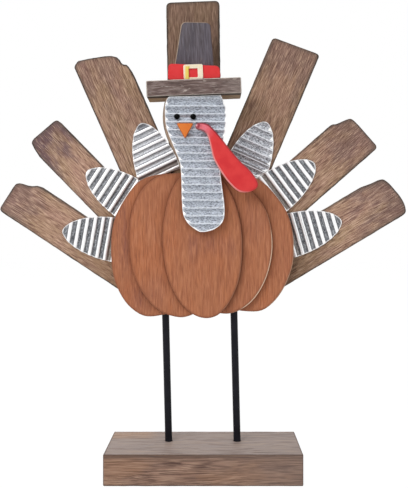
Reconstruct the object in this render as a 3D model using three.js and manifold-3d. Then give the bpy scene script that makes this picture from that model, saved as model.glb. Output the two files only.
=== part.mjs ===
// Thanksgiving turkey figure: a layered wooden pumpkin on two rods, with a fan of tail boards,
// corrugated metal feathers, a corrugated metal face and a hat.
// Millimetres, +Z up, +X to the right of someone facing the turkey, who stands on the -Y side.
// The origin is the middle of the underside of the base block.

import * as THREE from 'three';
import { mergeVertices } from 'three/addons/utils/BufferGeometryUtils.js';
import Module from 'manifold-3d';

const wasm = await Module();
wasm.setup();

// Gaps between pieces, and how far a cutting shape runs past what it cuts
const fitClearance = 0.3;
const cutOverrun = 1;

// Base block and rods
const baseWidth = 168;
const baseDepth = 66;
const baseHeight = 26.6;
const legDiameter = 6.35;
const legSpacing = 61;
const legRise = 111.4;
const legBaseSeat = 18;
const legBodySeat = 21;
const legSetback = 5.3;
const legShift = -0.8;
const legLeanDegrees = 1.4;

// Pumpkin body: three boards, each lying in front of the one before. A lobe width is how far
// a board shows at each side of the one in front of it
const bodyWidth = 161.9;
const bodyHeight = 126.8;
const bodyShift = -1.15;
const backThickness = 12;
const backLobeWidth = 18.3;
const middleThickness = 6;
const middleShift = -1.4;
const middleLobeWidth = 28;
const frontRise = 3.9;
const frontThickness = 6;
const frontShift = 0.1;

// Tail boards: reach and slide are measured from the point where the fan's joints meet
const spineShift = -5.65;
const fanLift = 22;
const tailThickness = 8;
const tailCornerRadius = 4.4;
const centerReach = 261.2;
const centerWidth = 47.5;
const centerSlide = 0.95;
const upperLeftReach = 234.4;
const upperLeftWidth = 46;
const upperLeftSlide = 3;
const upperRightReach = 239.7;
const upperRightWidth = 45.4;
const upperRightSlide = -3.1;
const middleLeftReach = 201.1;
const middleLeftWidth = 35.4;
const middleLeftSlide = 0.8;
const middleRightReach = 208.7;
const middleRightWidth = 43.4;
const middleRightSlide = -10.5;
const lowerLeftReach = 189.3;
const lowerLeftWidth = 38.6;
const lowerLeftSlide = -18.6;
const lowerRightReach = 201.7;
const lowerRightWidth = 41.2;
const lowerRightSlide = 17.3;
const tailInnerReach = 45;

// Nails through the tail boards into the back of the pumpkin
const nailDiameter = 1.6;
const nailHeadDiameter = 3.2;
const nailHeadThickness = 0.8;
const nailBite = 9;
const nailTaper = 1.5;

// Corrugated sheet metal of the feathers and the face
const sheetThickness = 0.4;
const sheetDepth = 2.2;
const featherPitch = 7;
const featherLength = 50;
const featherWidth = 40;
const lowerLeftFeatherShow = 49.3;
const middleLeftFeatherShow = 45;
const upperLeftFeatherShow = 49.3;
const upperRightFeatherShow = 52;
const middleRightFeatherShow = 47;
const lowerRightFeatherShow = 48.8;

// Head board with its metal face
const headWidth = 52.2;
const headHeight = 116.6;
const headLift = 75;
const headBoardThickness = 6;
const facePitch = 6.7;
const faceRidgeStart = 0.4;

// Eyes, beak and wattle on the face
const eyeDiameter = 4.7;
const eyeHeight = 1.6;
const eyeSpacing = 13.9;
const eyeLift = 6;
const beakWidth = 14.8;
const beakHeight = 13.2;
const beakThickness = 3.6;
const beakCornerRadius = 1.8;
const wattleWidth = 53.3;
const wattleHeight = 58.8;
const wattleThickness = 5.5;
const wattleGap = 1.5;
const wattleRise = 0.1;

// Hat: brim block, crown board, band and buckle
const brimWidth = 81.4;
const brimHeight = 14;
const brimDepth = 26;
const brimShift = -1.1;
const brimRollDegrees = 2.3;
const crownFootWidth = 37.4;
const crownTopWidth = 25.1;
const crownTopShift = 4.1;
const crownHeight = 51.2;
const crownTopDrop = 1.6;
const crownThickness = 8;
const crownSetback = 8;
const crownCornerRadius = 4.2;
const bandFootWidth = 46.3;
const bandTopWidth = 43.8;
const bandLeftHeight = 14.6;
const bandRightHeight = 10.8;
const bandShift = 0.7;
const bandThickness = 4;
const buckleWidth = 16.6;
const buckleHeight = 12.6;
const buckleSideWall = 4.5;
const buckleTopWall = 3.4;
const buckleFootWall = 1.5;
const buckleThickness = 1;

// Steps that turn curves into facets
const outlineSteps = 84;
const featherSteps = 15;
const cornerSteps = 4;
const ridgeSteps = 8;
const rodSides = 32;
const nailSides = 12;
const eyeSides = 24;
const domeSteps = 5;
const cornerReachShare = 0.4;
const featherRoundShare = 0.575;

const half = 1 / 2;
const quarterTurn = Math.PI / 2;
const fullTurn = Math.PI * 2;

// Sizes and places that several pieces share
const bodyLift = baseHeight + legRise;
const middleWidth = bodyWidth - backLobeWidth - backLobeWidth;
const frontWidth = middleWidth - middleLobeWidth - middleLobeWidth;
const frontHeight = bodyHeight + frontRise;
const backFront = legSetback - backThickness * half;
const backRear = backFront + backThickness;
const middleFront = backFront - middleThickness;
const bodyFront = middleFront - frontThickness;
const headFront = bodyFront - headBoardThickness;
const faceRear = headFront - fitClearance;
const faceFront = faceRear - sheetDepth;
const trimRear = faceFront - fitClearance;
const fanAcross = bodyShift + spineShift;
const fanUp = bodyLift + fanLift;
const headUp = bodyLift + headLift;
const brimRoll = THREE.MathUtils.degToRad(brimRollDegrees);

// Outlines of the pumpkin boards: across from the middle, up from the bottom
const backShares = [
  [-0.286, 0], [-0.335, 0.012], [-0.406, 0.079], [-0.46, 0.186], [-0.491, 0.312], [-0.5, 0.5],
  [-0.485, 0.66], [-0.439, 0.793], [-0.341, 0.95], [-0.215, 0.997], [0.02, 0.985], [0.225, 0.992],
  [0.325, 0.945], [0.423, 0.81], [0.467, 0.716], [0.494, 0.591], [0.5, 0.486], [0.493, 0.36],
  [0.45, 0.21], [0.391, 0.103], [0.325, 0.043], [0.24, 0.036], [0.03, 0.075], [-0.2, 0.016],
];
const middleShares = [
  [-0.144, 0], [-0.284, 0.042], [-0.388, 0.142], [-0.469, 0.3], [-0.5, 0.5], [-0.483, 0.734],
  [-0.41, 0.886], [-0.298, 0.976], [-0.15, 1], [0.06, 0.99], [0.22, 0.972], [0.387, 0.842],
  [0.463, 0.727], [0.498, 0.576], [0.498, 0.432], [0.456, 0.266], [0.38, 0.135], [0.296, 0.062],
  [0.205, 0.027], [0.125, 0.03], [0.02, 0.06], [-0.07, 0.014],
];
const frontShares = [
  [0.058, 0], [-0.092, 0.019], [-0.266, 0.095], [-0.403, 0.227], [-0.478, 0.38], [-0.5, 0.52],
  [-0.491, 0.625], [-0.428, 0.79], [-0.304, 0.923], [-0.15, 0.985], [0, 1], [0.14, 0.972],
  [0.284, 0.897], [0.402, 0.777], [0.481, 0.625], [0.5, 0.48], [0.49, 0.36], [0.447, 0.234],
  [0.334, 0.102], [0.197, 0.022],
];

// Sides of the head from the left end of the brim's seat, round the foot, to the right end
const faceShares = [
  [-0.416, 1], [-0.489, 0.952], [-0.5, 0.866], [-0.478, 0.77], [-0.406, 0.68], [-0.318, 0.585],
  [-0.251, 0.498], [-0.23, 0.38], [-0.222, 0.236], [-0.197, 0.125], [-0.105, 0.055], [0.042, 0.007],
  [0.14, 0], [0.312, 0.021], [0.448, 0.077], [0.477, 0.17], [0.442, 0.31], [0.404, 0.46],
  [0.43, 0.62], [0.485, 0.74], [0.5, 0.83], [0.49, 0.92], [0.418, 1],
];
const headShares = [
  [-0.485, 1], [-0.531, 0.9], [-0.533, 0.8], [-0.477, 0.7], [-0.377, 0.603], [-0.287, 0.522],
  [-0.222, 0.389], [-0.205, 0.234], [-0.176, 0.13], [-0.085, 0.066], [0.04, 0.02], [0.14, 0.013],
  [0.303, 0.035], [0.427, 0.087], [0.454, 0.17], [0.421, 0.31], [0.383, 0.46], [0.41, 0.62],
  [0.46, 0.74], [0.468, 0.83], [0.46, 0.92], [0.4, 1],
];
const backOutline = smoothOutline(backShares, bodyWidth, bodyHeight);

// Where the nails are, from the inner end of a tail board to the edge of the pumpkin
const nailShares = [0.15, 0.5];

// Middle of the beak's top edge on the face
const faceAcrossShare = -0.169;
const faceUpShare = 0.793;

// Wattle: across from its root at the beak, up from its lowest point
const wattleShares = [
  [0, 0.94], [0.02, 0.912], [0.1, 0.888], [0.18, 0.835], [0.231, 0.697], [0.285, 0.497],
  [0.396, 0.31], [0.54, 0.129], [0.69, 0.012], [0.84, 0], [0.972, 0.055], [1, 0.116],
  [0.975, 0.18], [0.872, 0.31], [0.715, 0.446], [0.555, 0.611], [0.428, 0.762], [0.302, 0.898],
  [0.191, 0.985], [0.064, 1], [0.005, 0.975],
];

// Outer end of each tail board, from its left-hand edge to its right-hand edge seen from the hub:
// back from the tip and across from the middle, both in board widths
const centerEndShares = [[0.02, -0.5], [0, 0.515]];
const upperLeftEndShares = [
  [0.013, -0.52], [0.093, -0.137], [0.189, 0.215], [0.287, 0.35], [0.459, 0.376], [0.487, 0.461],
  [0.73, 0.5],
];
const upperRightEndShares = [[0.05, -0.5], [0, 0.5]];
const middleLeftEndShares = [[0.43, -0.5], [0.006, -0.39], [0.062, 0.5]];
const middleRightEndShares = [
  [0.415, -0.5], [0.341, -0.435], [0.04, -0.346], [0.008, -0.22], [0, 0.5],
];
const lowerLeftEndShares = [[0.01, -0.5], [0, 0.232], [0.087, 0.306], [0.325, 0.371], [0.48, 0.5]];
const lowerRightEndShares = [
  [0.615, -0.5], [0.394, -0.45], [0.147, -0.43], [0.072, -0.29], [0, 0.108], [0.01, 0.33],
  [0.08, 0.5],
];

// Tail boards in order from lower left over the top to lower right, with the bearing of each axis
const tailBoards = [
  {
    name: 'tail_lower_left', bearing: 146.5, reach: lowerLeftReach, width: lowerLeftWidth,
    slide: lowerLeftSlide, endShares: lowerLeftEndShares,
  },
  {
    name: 'tail_middle_left', bearing: 134.4, reach: middleLeftReach, width: middleLeftWidth,
    slide: middleLeftSlide, endShares: middleLeftEndShares,
  },
  {
    name: 'tail_upper_left', bearing: 113.5, reach: upperLeftReach, width: upperLeftWidth,
    slide: upperLeftSlide, endShares: upperLeftEndShares,
  },
  {
    name: 'tail_center', bearing: 91, reach: centerReach, width: centerWidth,
    slide: centerSlide, endShares: centerEndShares,
  },
  {
    name: 'tail_upper_right', bearing: 67, reach: upperRightReach, width: upperRightWidth,
    slide: upperRightSlide, endShares: upperRightEndShares,
  },
  {
    name: 'tail_middle_right', bearing: 41.3, reach: middleRightReach, width: middleRightWidth,
    slide: middleRightSlide, endShares: middleRightEndShares,
  },
  {
    name: 'tail_lower_right', bearing: 31, reach: lowerRightReach, width: lowerRightWidth,
    slide: lowerRightSlide, endShares: lowerRightEndShares,
  },
];

// Feathers: the bearing of the tip from the hub, how far it shows beyond the edge of the pumpkin,
// and the way that the feather points
const feathers = [
  { name: 'feather_lower_left', show: lowerLeftFeatherShow, bearing: 155.8, heading: 170 },
  { name: 'feather_middle_left', show: middleLeftFeatherShow, bearing: 132.6, heading: 147 },
  { name: 'feather_upper_left', show: upperLeftFeatherShow, bearing: 108.3, heading: 110 },
  { name: 'feather_upper_right', show: upperRightFeatherShow, bearing: 67.4, heading: 66 },
  { name: 'feather_middle_right', show: middleRightFeatherShow, bearing: 47.3, heading: 37 },
  { name: 'feather_lower_right', show: lowerRightFeatherShow, bearing: 25.7, heading: 16 },
];

function surface(color, roughness, metalness) {
  return new THREE.MeshStandardMaterial({ color, roughness, metalness });
}

const baseWood = surface('#8a7360', 0.8, 0);
const boardWood = surface('#80624c', 0.8, 0);
const headWood = surface('#8c6c50', 0.8, 0);
const pumpkinPaint = surface('#b26c4e', 0.7, 0);
const rodPaint = surface('#1d1d1f', 0.45, 0);
const galvanized = surface('#c3c7cb', 0.4, 0.9);
const nailSteel = surface('#9a9a9c', 0.4, 1);
const eyePaint = surface('#111113', 0.2, 0);
const beakPaint = surface('#ea8a3c', 0.5, 0);
const wattlePaint = surface('#d42a2c', 0.25, 0);
const bandPaint = surface('#cf2f2b', 0.5, 0);
const bucklePaint = surface('#ead9a0', 0.5, 0);
const crownWood = surface('#6f6763', 0.85, 0);

function namedMesh(name, geometry, material) {
  const mesh = new THREE.Mesh(geometry, material.clone());
  mesh.name = name;
  return mesh;
}

// A closed mesh as a solid, and back
function toSolid(geometry) {
  const bare = geometry.clone();
  bare.deleteAttribute('normal');
  bare.deleteAttribute('uv');
  const merged = mergeVertices(bare);
  const vertProperties = new Float32Array(merged.attributes.position.array);
  const triVerts = new Uint32Array(merged.index.array);
  return new wasm.Manifold(new wasm.Mesh({ numProp: 3, vertProperties, triVerts }));
}

function toGeometry(solid) {
  const { vertProperties, triVerts } = solid.getMesh();
  const geometry = new THREE.BufferGeometry();
  geometry.setAttribute('position', new THREE.BufferAttribute(vertProperties, 3));
  geometry.setIndex(new THREE.BufferAttribute(triVerts, 1));
  return geometry;
}

// Cut from a placed mesh a shape that is placed as another mesh is
function cutFrom(mesh, shape, placedAs) {
  mesh.updateWorldMatrix(true, false);
  placedAs.updateWorldMatrix(true, false);
  const toMesh = mesh.matrixWorld.clone().invert().multiply(placedAs.matrixWorld);
  const cutter = shape.clone().applyMatrix4(toMesh);
  mesh.geometry = toGeometry(toSolid(mesh.geometry).subtract(toSolid(cutter)));
}

// An upright plate: its outline lies in X and Z, its rear at Y zero and its front towards -Y
function uprightPlate(outline, thickness) {
  const plate = new THREE.ExtrudeGeometry(new THREE.Shape(outline), {
    depth: thickness,
    bevelEnabled: false,
  });
  plate.rotateX(quarterTurn);
  return plate;
}

// A closed smooth outline through shares of a width and a height
function smoothOutline(shares, width, height) {
  const points = shares.map(([across, up]) => new THREE.Vector3(across * width, up * height, 0));
  const curve = new THREE.CatmullRomCurve3(points, true, 'centripetal');
  const outline = curve.getPoints(outlineSteps).map((point) => new THREE.Vector2(point.x, point.y));
  outline.pop();
  return outline;
}

// The same outline with every point moved outwards
function widened(outline, distance) {
  const turn = Math.sign(THREE.ShapeUtils.area(outline));
  return outline.map((point, index) => {
    const before = outline.at(index - 1);
    const after = outline[(index + 1) % outline.length];
    const along = after.clone().sub(before).normalize();
    return new THREE.Vector2(
      point.x + along.y * distance * turn,
      point.y - along.x * distance * turn,
    );
  });
}

function stepTowards(start, end, distance) {
  const span = start.distanceTo(end);
  return start.clone().lerp(end, Math.min(distance / span, cornerReachShare));
}

// A straight-sided outline with its corners rounded
function roundedOutline(corners, radius) {
  return corners.flatMap((corner, index) => {
    const start = stepTowards(corner, corners.at(index - 1), radius);
    const end = stepTowards(corner, corners[(index + 1) % corners.length], radius);
    return new THREE.QuadraticBezierCurve(start, corner, end).getPoints(cornerSteps);
  });
}

// A sheet with ridges across it, from its foot at Z zero upwards, its rearmost lines at Y zero
function corrugatedSheet(width, height, pitch, ridgeStart) {
  const steps = Math.ceil((height / pitch) * ridgeSteps);
  const swing = (sheetDepth - sheetThickness) * half;
  const frontLine = [];
  const rearLine = [];
  for (let step = 0; step <= steps; step += 1) {
    const up = (height * step) / steps;
    const turns = (up - ridgeStart) / pitch;
    const forward = swing + swing * Math.cos(turns * fullTurn);
    frontLine.push(new THREE.Vector2(forward + sheetThickness, up));
    rearLine.unshift(new THREE.Vector2(forward, up));
  }
  const profile = new THREE.Shape([...frontLine, ...rearLine]);
  const sheet = new THREE.ExtrudeGeometry(profile, { depth: width, bevelEnabled: false });
  sheet.rotateX(quarterTurn);
  sheet.rotateZ(-quarterTurn);
  sheet.translate(width * half, 0, 0);
  return sheet;
}

// Keep the part of a sheet that lies inside an outline
function trimSheet(sheet, outline) {
  const punch = uprightPlate(outline, sheetDepth + cutOverrun + cutOverrun);
  punch.translate(0, cutOverrun, 0);
  return toGeometry(toSolid(sheet).intersect(toSolid(punch)));
}

// Rods: one group, set back from the middle of the base and leaning a little to the left
function makeLegs() {
  const legs = new THREE.Group();
  legs.position.set(legShift, legSetback, baseHeight);
  legs.rotation.y = -THREE.MathUtils.degToRad(legLeanDegrees);
  const length = legBaseSeat + legRise + legBodySeat;
  for (const [name, side] of [['leg_left', -half], ['leg_right', half]]) {
    const rod = rodShape(legDiameter * half, length);
    rod.translate(0, 0, length * half - legBaseSeat);
    const leg = namedMesh(name, rod, rodPaint);
    leg.position.x = legSpacing * side;
    legs.add(leg);
  }
  return legs;
}

function rodShape(radius, length) {
  const rod = new THREE.CylinderGeometry(radius, radius, length, rodSides);
  rod.rotateX(quarterTurn);
  return rod;
}

// The room that a rod needs, a fit clearance wider and longer at each end
function legSpace() {
  const length = legBaseSeat + legRise + legBodySeat + fitClearance + fitClearance;
  const space = rodShape(legDiameter * half + fitClearance, length);
  space.translate(0, 0, length * half - legBaseSeat - fitClearance);
  return space;
}

function makeBase(legs) {
  const block = new THREE.BoxGeometry(baseWidth, baseDepth, baseHeight);
  block.translate(0, 0, baseHeight * half);
  const base = namedMesh('base_block', block, baseWood);
  for (const leg of legs.children) {
    cutFrom(base, legSpace(), leg);
  }
  return base;
}

function pumpkinBoard(name, outline, thickness, across, rear) {
  const board = namedMesh(name, uprightPlate(outline, thickness), pumpkinPaint);
  board.position.set(across, rear, bodyLift);
  return board;
}

function makePumpkin(legs) {
  const back = pumpkinBoard('pumpkin_back', backOutline, backThickness, bodyShift, backRear);
  const middle = pumpkinBoard(
    'pumpkin_middle', smoothOutline(middleShares, middleWidth, bodyHeight),
    middleThickness, bodyShift + middleShift, backFront,
  );
  const front = pumpkinBoard(
    'pumpkin_front', smoothOutline(frontShares, frontWidth, frontHeight),
    frontThickness, bodyShift + frontShift, middleFront,
  );
  for (const leg of legs.children) {
    cutFrom(back, legSpace(), leg);
  }
  const pumpkin = new THREE.Group();
  pumpkin.add(back, middle, front);
  return pumpkin;
}

// Directions in the fan: outwards along a bearing, and square to it on its clockwise side
function outwards(bearing) {
  const angle = THREE.MathUtils.degToRad(bearing);
  return new THREE.Vector2(Math.cos(angle), Math.sin(angle));
}

function clockwise(bearing) {
  const angle = THREE.MathUtils.degToRad(bearing);
  return new THREE.Vector2(Math.sin(angle), -Math.cos(angle));
}

// Distance from the fan's hub to the edge of the back of the pumpkin, along a bearing
function edgeReach(bearing) {
  const out = outwards(bearing);
  const side = clockwise(bearing);
  const hub = new THREE.Vector2(spineShift, fanLift);
  const points = backOutline.map((point) => point.clone().sub(hub));
  const crossings = points.map((point, index) => {
    const next = points[(index + 1) % points.length];
    const offset = point.dot(side);
    const nextOffset = next.dot(side);
    if (offset > 0 === nextOffset > 0) {
      return 0;
    }
    return point.clone().lerp(next, offset / (offset - nextOffset)).dot(out);
  });
  return Math.max(...crossings);
}

// Bearing from the hub of the point where the facing edges of two neighbours cross
function jointBearing(board, next) {
  const side = clockwise(board.bearing);
  const nextSide = clockwise(next.bearing);
  const edge = board.slide + board.width * half;
  const nextEdge = next.slide - next.width * half;
  const spread = side.x * nextSide.y - side.y * nextSide.x;
  const across = (edge * nextSide.y - nextEdge * side.y) / spread;
  const up = (nextEdge * side.x - edge * nextSide.x) / spread;
  return THREE.MathUtils.radToDeg(Math.atan2(up, across));
}

// Slope of a mitred joint against a board's own axis
function jointSlope(board, bearing) {
  return Math.tan(THREE.MathUtils.degToRad(board.bearing - bearing));
}

// The two long edges of a board, and its joints where it has a neighbour
function boardSides(index) {
  const board = tailBoards[index];
  const before = tailBoards[index - 1];
  const after = tailBoards[index + 1];
  return {
    leftEdge: board.slide - board.width * half,
    rightEdge: board.slide + board.width * half,
    leftSlope: before ? jointSlope(board, jointBearing(before, board)) : null,
    rightSlope: after ? jointSlope(board, jointBearing(board, after)) : null,
  };
}

// How far the board's two sides lie from its axis, at a distance from the hub
function sidesAt(index, distance) {
  const { leftEdge, rightEdge, leftSlope, rightSlope } = boardSides(index);
  const gap = fitClearance * half;
  const left = leftSlope === null ? leftEdge : Math.max(leftEdge, distance * leftSlope + gap);
  const right = rightSlope === null ? rightEdge : Math.min(rightEdge, distance * rightSlope - gap);
  return [left, right];
}

// Corners of a board: inner end, mitres up to its shoulders, and the cut of its outer end
function boardCorners(index) {
  const board = tailBoards[index];
  const { leftEdge, rightEdge, leftSlope, rightSlope } = boardSides(index);
  const [left, right] = sidesAt(index, tailInnerReach);
  const places = [[tailInnerReach, left]];
  if (left > leftEdge) {
    places.push([(leftEdge - fitClearance * half) / leftSlope, leftEdge]);
  }
  for (const [backShare, acrossShare] of board.endShares) {
    places.push([
      board.reach - backShare * board.width,
      board.slide + acrossShare * board.width,
    ]);
  }
  if (right < rightEdge) {
    places.push([(rightEdge + fitClearance * half) / rightSlope, rightEdge]);
  }
  places.push([tailInnerReach, right]);
  const out = outwards(board.bearing);
  const side = clockwise(board.bearing);
  return places.map(([distance, across]) => new THREE.Vector2(
    out.x * distance + side.x * across,
    out.y * distance + side.y * across,
  ));
}

function makeTailBoard(index) {
  const outline = roundedOutline(boardCorners(index), tailCornerRadius);
  const plate = uprightPlate(outline, tailThickness);
  const board = namedMesh(tailBoards[index].name, plate, boardWood);
  board.position.y = backRear + tailThickness;
  return board;
}

// A nail with its head behind the tail board and its point in the pumpkin
function nailShape() {
  const tip = -tailThickness - nailBite;
  const profile = [
    new THREE.Vector2(0, tip),
    new THREE.Vector2(nailDiameter * half, tip + nailTaper),
    new THREE.Vector2(nailDiameter * half, fitClearance),
    new THREE.Vector2(nailHeadDiameter * half, fitClearance),
    new THREE.Vector2(nailHeadDiameter * half, fitClearance + nailHeadThickness),
    new THREE.Vector2(0, fitClearance + nailHeadThickness),
  ];
  return new THREE.LatheGeometry(profile, nailSides);
}

function nailSpace() {
  const depth = tailThickness + nailBite + fitClearance;
  const radius = nailDiameter * half + fitClearance;
  const space = new THREE.CylinderGeometry(radius, radius, depth + cutOverrun, nailSides);
  space.translate(0, (cutOverrun - depth) * half, 0);
  return space;
}

function makeNails(index) {
  const board = tailBoards[index];
  const out = outwards(board.bearing);
  const side = clockwise(board.bearing);
  const room = edgeReach(board.bearing) - tailInnerReach;
  return nailShares.map((nailShare, count) => {
    const distance = tailInnerReach + room * nailShare;
    const [left, right] = sidesAt(index, distance);
    const across = (left + right) * half;
    const nail = namedMesh(`${board.name}_nail_${count + 1}`, nailShape(), nailSteel);
    nail.position.set(
      out.x * distance + side.x * across,
      backRear + tailThickness,
      out.y * distance + side.y * across,
    );
    return nail;
  });
}

function makeTail(pumpkinBack) {
  const tail = new THREE.Group();
  tail.position.set(fanAcross, 0, fanUp);
  tailBoards.forEach((board, index) => {
    const plank = makeTailBoard(index);
    tail.add(plank);
    for (const nail of makeNails(index)) {
      tail.add(nail);
      cutFrom(plank, nailSpace(), nail);
      cutFrom(pumpkinBack, nailSpace(), nail);
    }
  });
  return tail;
}

// A petal that swells from its tip at the top to its full width at its foot
function petalOutline() {
  const outline = [];
  for (let step = -featherSteps; step <= featherSteps; step += 1) {
    const share = (step * step) / (featherSteps * featherSteps);
    const swell = (1 - (1 - share) ** 2) ** featherRoundShare;
    const across = Math.sign(step) * featherWidth * half * swell;
    outline.push(new THREE.Vector2(across, -share * featherLength));
  }
  return outline;
}

function makeFeathers(pumpkinBack) {
  const group = new THREE.Group();
  group.position.set(fanAcross, backRear - fitClearance, fanUp);
  const backSpace = uprightPlate(widened(backOutline, fitClearance), backThickness);
  for (const { name, show, bearing, heading } of feathers) {
    const out = outwards(bearing);
    const reach = edgeReach(bearing) + show;
    const sheet = corrugatedSheet(featherWidth + cutOverrun, featherLength, featherPitch, 0);
    sheet.translate(0, 0, -featherLength);
    const feather = namedMesh(name, trimSheet(sheet, petalOutline()), galvanized);
    feather.position.set(out.x * reach, 0, out.y * reach);
    feather.rotation.y = quarterTurn - THREE.MathUtils.degToRad(heading);
    group.add(feather);
    cutFrom(feather, backSpace, pumpkinBack);
  }
  // Each feather also makes room for the one after it in the fan
  const petalSpace = uprightPlate(widened(petalOutline(), fitClearance), sheetDepth + cutOverrun);
  petalSpace.translate(0, cutOverrun * half, 0);
  group.children.slice(1).forEach((feather, index) => {
    cutFrom(group.children[index], petalSpace, feather);
  });
  return group;
}

// Height of the brim's seat on the head, measured from the head's foot
function seatHeight(across) {
  return headHeight + (across - brimShift) * Math.tan(brimRoll);
}

// Smooth sides between two corners that lie on the brim's seat
function headOutline(shares) {
  const points = shares.map(([across, up]) => new THREE.Vector2(across * headWidth, up * headHeight));
  const sides = new THREE.SplineCurve(points).getPoints(outlineSteps);
  for (const end of [sides[0], sides.at(-1)]) {
    end.y = seatHeight(end.x);
  }
  return sides;
}

function makeHead() {
  const head = new THREE.Group();
  head.position.set(fanAcross, 0, headUp);
  const plate = uprightPlate(headOutline(headShares), headBoardThickness);
  const board = namedMesh('head_board', plate, headWood);
  board.position.y = bodyFront;
  const sheet = corrugatedSheet(
    headWidth + cutOverrun + cutOverrun, seatHeight(headWidth * half), facePitch, faceRidgeStart,
  );
  const metal = namedMesh('head_metal', trimSheet(sheet, headOutline(faceShares)), galvanized);
  metal.position.y = faceRear;
  head.add(board, metal, makeFace());
  return head;
}

function eyeShape() {
  const profile = [new THREE.Vector2(0, 0)];
  for (let step = 0; step <= domeSteps; step += 1) {
    const angle = (quarterTurn * step) / domeSteps;
    profile.push(new THREE.Vector2(eyeDiameter * half * Math.cos(angle), eyeHeight * Math.sin(angle)));
  }
  profile.at(-1).x = 0;
  const dome = new THREE.LatheGeometry(profile, eyeSides);
  dome.rotateX(Math.PI);
  return dome;
}

// Eyes, beak and wattle, placed from the middle of the beak's top edge
function makeFace() {
  const face = new THREE.Group();
  face.position.set(faceAcrossShare * headWidth, trimRear, faceUpShare * headHeight);
  for (const [name, side] of [['eye_left', -half], ['eye_right', half]]) {
    const eye = namedMesh(name, eyeShape(), eyePaint);
    eye.position.set(eyeSpacing * side, 0, eyeLift);
    face.add(eye);
  }
  const beakOutline = roundedOutline([
    new THREE.Vector2(-beakWidth * half, 0),
    new THREE.Vector2(beakWidth * half, 0),
    new THREE.Vector2(0, -beakHeight),
  ], beakCornerRadius);
  face.add(namedMesh('beak', uprightPlate(beakOutline, beakThickness), beakPaint));
  const wattleOutline = smoothOutline(wattleShares, wattleWidth, wattleHeight);
  const wattle = namedMesh('wattle', uprightPlate(wattleOutline, wattleThickness), wattlePaint);
  wattle.position.set(beakWidth * half + wattleGap, 0, wattleRise - wattleHeight);
  face.add(wattle);
  return face;
}

function makeCrown() {
  const top = crownHeight;
  const outline = roundedOutline([
    new THREE.Vector2(-crownFootWidth * half, 0),
    new THREE.Vector2(crownFootWidth * half, 0),
    new THREE.Vector2(crownTopShift + crownTopWidth * half, top - crownTopDrop),
    new THREE.Vector2(crownTopShift - crownTopWidth * half, top),
  ], crownCornerRadius);
  const crown = namedMesh('hat_crown', uprightPlate(outline, crownThickness), crownWood);
  crown.position.set(0, crownSetback + crownThickness, brimHeight + fitClearance);
  return crown;
}

function makeBand() {
  const outline = [
    new THREE.Vector2(-bandFootWidth * half, 0),
    new THREE.Vector2(bandFootWidth * half, 0),
    new THREE.Vector2(bandTopWidth * half, bandRightHeight),
    new THREE.Vector2(-bandTopWidth * half, bandLeftHeight),
  ];
  const band = namedMesh('hat_band', uprightPlate(outline, bandThickness), bandPaint);
  band.position.set(bandShift, crownSetback - fitClearance, brimHeight + fitClearance);
  return band;
}

function rectangle(width, height) {
  return [
    new THREE.Vector2(-width * half, 0),
    new THREE.Vector2(width * half, 0),
    new THREE.Vector2(width * half, height),
    new THREE.Vector2(-width * half, height),
  ];
}

function makeBuckle() {
  const frame = new THREE.Shape(rectangle(buckleWidth, buckleHeight));
  const windowWidth = buckleWidth - buckleSideWall - buckleSideWall;
  const windowHeight = buckleHeight - buckleTopWall - buckleFootWall;
  const opening = rectangle(windowWidth, windowHeight);
  for (const corner of opening) {
    corner.y += buckleFootWall;
  }
  frame.holes.push(new THREE.Path(opening));
  const plate = new THREE.ExtrudeGeometry(frame, { depth: buckleThickness, bevelEnabled: false });
  plate.rotateX(quarterTurn);
  const buckle = namedMesh('hat_buckle', plate, bucklePaint);
  const rear = crownSetback - fitClearance - bandThickness - fitClearance;
  buckle.position.set(0, rear, brimHeight + fitClearance);
  return buckle;
}

// The hat's own frame: the middle of the brim's underside, its front in line with the metal face
function makeHat() {
  const hat = new THREE.Group();
  hat.position.set(fanAcross + brimShift, faceFront, headUp + headHeight + fitClearance);
  hat.rotation.y = -brimRoll;
  const block = new THREE.BoxGeometry(brimWidth, brimDepth, brimHeight);
  block.translate(0, brimDepth * half, brimHeight * half);
  hat.add(namedMesh('hat_brim', block, crownWood));
  hat.add(makeCrown());
  hat.add(makeBand());
  hat.add(makeBuckle());
  return hat;
}

function makeTurkey() {
  const legs = makeLegs();
  const base = makeBase(legs);
  const pumpkin = makePumpkin(legs);
  const [pumpkinBack] = pumpkin.children;
  const tail = makeTail(pumpkinBack);
  const turkey = new THREE.Group();
  turkey.add(base, legs, pumpkin, tail, makeFeathers(pumpkinBack), makeHead(), makeHat());
  return turkey;
}

export default makeTurkey();
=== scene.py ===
import bpy
import math
from mathutils import Matrix, Vector, kdtree


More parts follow.
